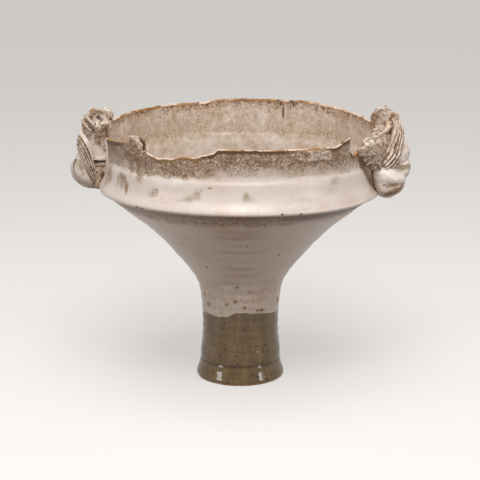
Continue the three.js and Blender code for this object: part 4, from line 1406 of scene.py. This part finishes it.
lump(
    "right_lug_upper_knob", UPPER_KNOB, along=-15, depth=(10, 10.5), seed=241, flat=0.6, fold=0.7,
    ridge=0.1, brown=0.02,
)
lump(
    "right_lug_saddle", SADDLE, along=-16, depth=(10, 12), seed=245, solid="right_lug_lower_knob",
    flat=0.55, fold=0.8, ridge=0.1, brown=0.05,
    stain=spots((146, 208, 4, 0.7), (145, 202.5, 4, 1)),
)
lump(
    "right_lug_lower_knob", LOWER_KNOB, along=-17, depth=(10, 12.5), seed=251, flat=0.6, fold=0.9,
    ridge=0.1, brown=0.04,
    thumbed=[(144, 202, 5, 2, -1.2), (148, 207, 4, 2, 0.8)],
    stain=spots(
        (145, 203, 3.6, 1), (149.5, 203.5, 3, 0.9), (153.2, 204.3, 2.5, 1.1), (139, 199.5, 3, 0.8),
        (142, 206.5, 4, 0.5),
    ),
    edge=spots((137.8, 197.3, 1.2, 0.9), (153.5, 204.5, 1.4, 0.7)),
    dark=spots((145.6, 202.6, 1, 0.8)),
)
lump(
    "right_lug_drop", DROP, along=-31, depth=(15, 15), seed=261, flat=0.55, fold=0.8, size=9, hugs=True,
    ridge=0.1,
    thumbed=[
        (138, 190, 8, 2.4, -1.6), (133, 196.5, 14, 3, 1.2), (136, 184, 9, 2.5, 0.8),
        (128, 206, 12, 4, -2.2),
    ],
    stain=spots(
        (132.9, 191.3, 2.2, 1.5), (137, 190.5, 2.4, 1.2), (140, 190.5, 2.4, 1.2), (131, 189.5, 3, 0.6),
    ),
    edge=spots((140.5, 190.3, 1.6, 0.5), (143.8, 191.6, 1.8, 0.75), (142.4, 189, 1.8, 0.55)),
    brown=drop_brown,
    dark=spots(
        (127.9, 191, 0.9, 1.3), (144.9, 190.9, 0.9, 1.2), (130.5, 181.3, 1.4, 0.6),
        (134.5, 183.6, 1.4, 0.6), (138.5, 185.6, 1.4, 0.5),
    ),
)

# %% [markdown]
# ## What is pressed on the rim
#
# At the front left a torn corner is rolled over the rim, above the thin end of a strip that laps over the
# outside. At the front right a narrow strip is pinched on under the rim.

# %% Lap, patch and curl
def wall_sheet(name, rows, thickness, seed, crease, taper, paler, dark):
    """Rows are angle, lower edge, upper edge. Across the sheet the face swells as 1 - u^6 to the power 0.7,
    and its back lies inside the wall. Its glaze is that of the wall under it, less brown where it stands
    out, and its hollows get painted shade, brown and dark."""
    angle, low, high = at_angles(rows, 110)
    u = np.linspace(-1, 1, 50)[None]
    z = low + (high - low) * (u + 1) / 2 + 0.5 * rough(wall_point(angle, RIM, 0 * u), 3, seed + 4) * np.abs(u)
    ends = np.clip(np.minimum(angle - angle[0], angle[-1] - angle) / taper, 0, 1)
    swell = thickness * (1 - u**6) ** 0.7 * quarter(ends)
    p = wall_point(angle, RIM, z)
    waves = 1 + crease * (rough(p, 6, seed) + 0.6 * rough(p, 2.5, seed + 1))
    face = wall_point(angle, outer_radius(angle, z) + swell * waves - 0.15, z)
    back = wall_point(angle, outer_radius(angle, z) - 0.9, z)[:, ::-1][:, 1:-1:4]
    grid = np.concatenate([face, back], 1)
    grid = grid[:, :: outward(grid)]
    around = np.degrees(np.arctan2(grid[..., 0], -grid[..., 1]))
    paint = outer_glaze(around, grid[..., 2])
    proud = np.hypot(grid[..., 0], grid[..., 1]) - outer_radius(around, grid[..., 2])
    hollow = -bulge(grid, 2.5)
    paint["brown"] = paint["brown"] * (1 - paler * ease(0.1, 1.2, proud)) + 0.3 * np.clip(hollow, -0.3, 0.5)
    paint["edge"] = 0 * proud
    paint["dark"] = np.clip(dark(grid) + 0.45 * np.clip(hollow, 0, 1), 0, 1)
    skin(name, grid, paint, "rim_glaze")


wall_sheet(
    "rim_lap",
    [
        (-57, 230.5, 231.5), (-55.4, 229.3, 234), (-53.2, 226, 234.3), (-49, 224.2, 234.6),
        (-45.2, 221.8, 233), (-43, 224.5, 229),
    ],
    thickness=1.5, seed=301, crease=0.4, taper=0.8, paler=0.1,
    dark=spots((-98.5, 224.5, 1.2, 0.5)),
)
wall_sheet(
    "rim_patch",
    [
        (22, 227, 231), (24.5, 224.2, 234.2), (29, 223.2, 233.8), (33.5, 223.3, 233.6), (37, 222.5, 232.5),
        (40.5, 221.8, 227.5),
    ],
    thickness=1.3, seed=311, crease=0.6, taper=6.0, paler=0.35,
    dark=spots((55.5, 229.6, 1.1, 1.2), (58, 231.2, 1, 0.9)),
)
band(
    "rim_curl",
    [(-97, -75.8, 240), (-93, -79.2, 240), (-89.4, -83, 238.6), (-86.8, -86, 235), (-85, -88.4, 230.5)],
    widths=[1.2, 2.8, 4.4, 4.6, 3], depths=[0.5, 1.1, 1.7, 1.7, 1.2],
    faces=[(-0.2, -0.7, 0.8), (-0.4, -0.7, 0.6), (-0.6, -0.75, 0.3), (-0.6, -0.8, 0.1)], seed=321, fold=0.9,
    size=3, ridge=0.3, sharp=0.3, brown=0.24,
    edge=spots((-96, 240, 3, 0.8), (-90.5, 238.8, 1.4, 0.5), (-86, 231.5, 1.6, 0.6)),
    slot="rim_glaze",
)
# The fold on the curl's right side is brown and dark, partly its own colour and partly painted shade in its
# hollow
leaf(
    "rim_curl_fold",
    [
        [(-89.5, -80.5, 230.5), (-85.5, -83.5, 229.5), (-81.2, -87, 229)],
        [(-89.5, -79, 236), (-85, -80.5, 235.5), (-81, -85, 234.2)],
        [(-90, -79.5, 240), (-86, -81, 239.8), (-82.3, -85, 238)],
    ],
    thickness=2.2, seed=322, solid="rim_curl", torn=(0, 0.25, 0, 0.1), fold=0.7, size=4, brown=0.75,
    dark=spots((-83.5, 233.5, 3, 0.9)),
    slot="rim_glaze",
)
leaf(
    "rim_curl_flap",
    [
        [(-95, -78.5, 232), (-91.5, -81.5, 232), (-88, -84.5, 231.5)],
        [(-95.5, -79.2, 236), (-91.8, -82, 235.6), (-88, -85.2, 234.5)],
        [(-96, -77.6, 238.6), (-92.3, -80.4, 238.2), (-88.6, -84, 237)],
    ],
    thickness=1.8, seed=323, solid="rim_curl", torn=(0, 0.7, 0.5, 0), fold=0.6, size=4, brown=0.6,
    dark=spots((-94, 236.5, 1.2, 0.9)),
    slot="rim_glaze",
)
band(
    "rim_strip_left_edge",
    [
        (-120.3, -21.6, 230), (-120.7, -21, 224), (-120.2, -23, 219), (-119.6, -24.5, 213),
        (-120.6, -23.5, 207), (-122, -20.5, 202), (-123.2, -18, 197),
    ],
    widths=[1.4, 2.2, 2.2, 2, 1.6], depths=[0.8, 1.1, 1.1, 1, 0.6], faces=[(-0.7, -0.7, 0)] * 3, seed=331,
    solid="rim_strip_left", fold=0.2, size=3, ridge=0.1, brown=0.05, slot="rim_glaze",
)

# %% [markdown]
# ## Floor, lamps and background
#
# A plain pale floor and soft light, as on a photographer's table. One large lamp hangs overhead and one
# hangs in front. They light the bead and the ridge, and leave the underside of the funnel in shade, which
# painted shade deepens just under the bead. Two soft boxes stand low at the left and the right, and the
# glossy foot mirrors both. The pale background is only what the camera and mirrors see: the floor glows
# for them, and for nothing else.

# %% Floor and background
# Half a side of the floor in metres, and its glow as the camera sees it, where 1 is white
HALF_FLOOR = 14
FLOOR_GLOW = 0.48
# What the camera sees of the floor and the air, and the darker colours by which they light the bowl
FLOOR_SEEN = linear("#b9b7b5")
FLOOR_BOUNCE = linear("#6b5a4b")
SKY_SEEN = linear("#d6d5d4")
SKY_LIGHT = linear("#7b7066")
print("floor:", 2 * HALF_FLOOR, "m wide")
floor_mesh = bpy.data.meshes.new("floor")
floor_corners = [(x * HALF_FLOOR, y * HALF_FLOOR, 0) for x, y in ((-1, -1), (1, -1), (1, 1), (-1, 1))]
floor_mesh.from_pydata(floor_corners, [], [(0, 1, 2, 3)])
floor = added("floor", floor_mesh)


def seen_directly(tree):
    """1 for rays from the camera, mirrors and glass, and 0 for light that falls on matt surfaces."""
    ray = node(tree, "ShaderNodeLightPath").node.outputs
    two = node(tree, "ShaderNodeMath", operation="MAXIMUM", i0=ray["Is Camera Ray"], i1=ray["Is Glossy Ray"])
    return node(tree, "ShaderNodeMath", operation="MAXIMUM", i0=two, i1=ray["Is Transmission Ray"])


floor_paint = bpy.data.materials.new("pale_floor")
floor_paint.use_nodes = True
tree = floor_paint.node_tree
shader = tree.nodes["Principled BSDF"]
seen = seen_directly(tree)
floor_colour = node(tree, "ShaderNodeMix", data_type="RGBA", i0=seen, i6=FLOOR_BOUNCE, i7=FLOOR_SEEN)
tree.links.new(floor_colour, shader.inputs["Base Color"])
shader.inputs["Roughness"].default_value = 0.9
shader.inputs["Emission Color"].default_value = linear("#fbfaf8")
glow = node(tree, "ShaderNodeMath", operation="MULTIPLY", i0=seen, i1=FLOOR_GLOW)
tree.links.new(glow, shader.inputs["Emission Strength"])
floor_mesh.materials.append(floor_paint)

world = bpy.data.worlds.new("studio")
world.use_nodes = True
bpy.context.scene.world = world
tree = world.node_tree
sky = node(tree, "ShaderNodeMix", data_type="RGBA", i0=seen_directly(tree), i6=SKY_LIGHT, i7=SKY_SEEN)
tree.links.new(sky, tree.nodes["Background"].inputs["Color"])
tree.nodes["Background"].inputs["Strength"].default_value = 1.0

# %% Lamps
def lamp(name, place, aim, width, height, power):
    """A rectangular lamp that faces a point. A lamp shines along its own -Z, so its turn is the one that
    brings -Z onto the line to that point."""
    data = bpy.data.lights.new(name, "AREA")
    data.shape = "RECTANGLE"
    data.size = width
    data.size_y = height
    data.energy = power
    light = added(name, data)
    light.location = place
    light.rotation_euler = (Vector(aim) - Vector(place)).to_track_quat("-Z", "Y").to_euler()


# Name, place and aim in metres, width and height in metres, power in watts
LAMPS = [
    ("overhead", (0, -0.25, 1.35), (0, 0, 0.15), 0.9, 0.9, 7.8),
    ("front", (0, -1.0, 1.25), (0, 0, 0.18), 0.8, 0.5, 10.0),
    ("soft_box_left", (-1.15, -0.7, 0.42), (0, 0, 0.1), 0.3, 0.5, 3.2),
    ("soft_box_right", (1.15, -0.75, 0.42), (0, 0, 0.1), 0.3, 0.5, 3.2),
]
for row in LAMPS:
    lamp(*row)

# %% [markdown]
# ## Finish
#
# Standard view keeps the colours as written.

# %% Finish
bpy.context.scene.view_settings.view_transform = "Standard"
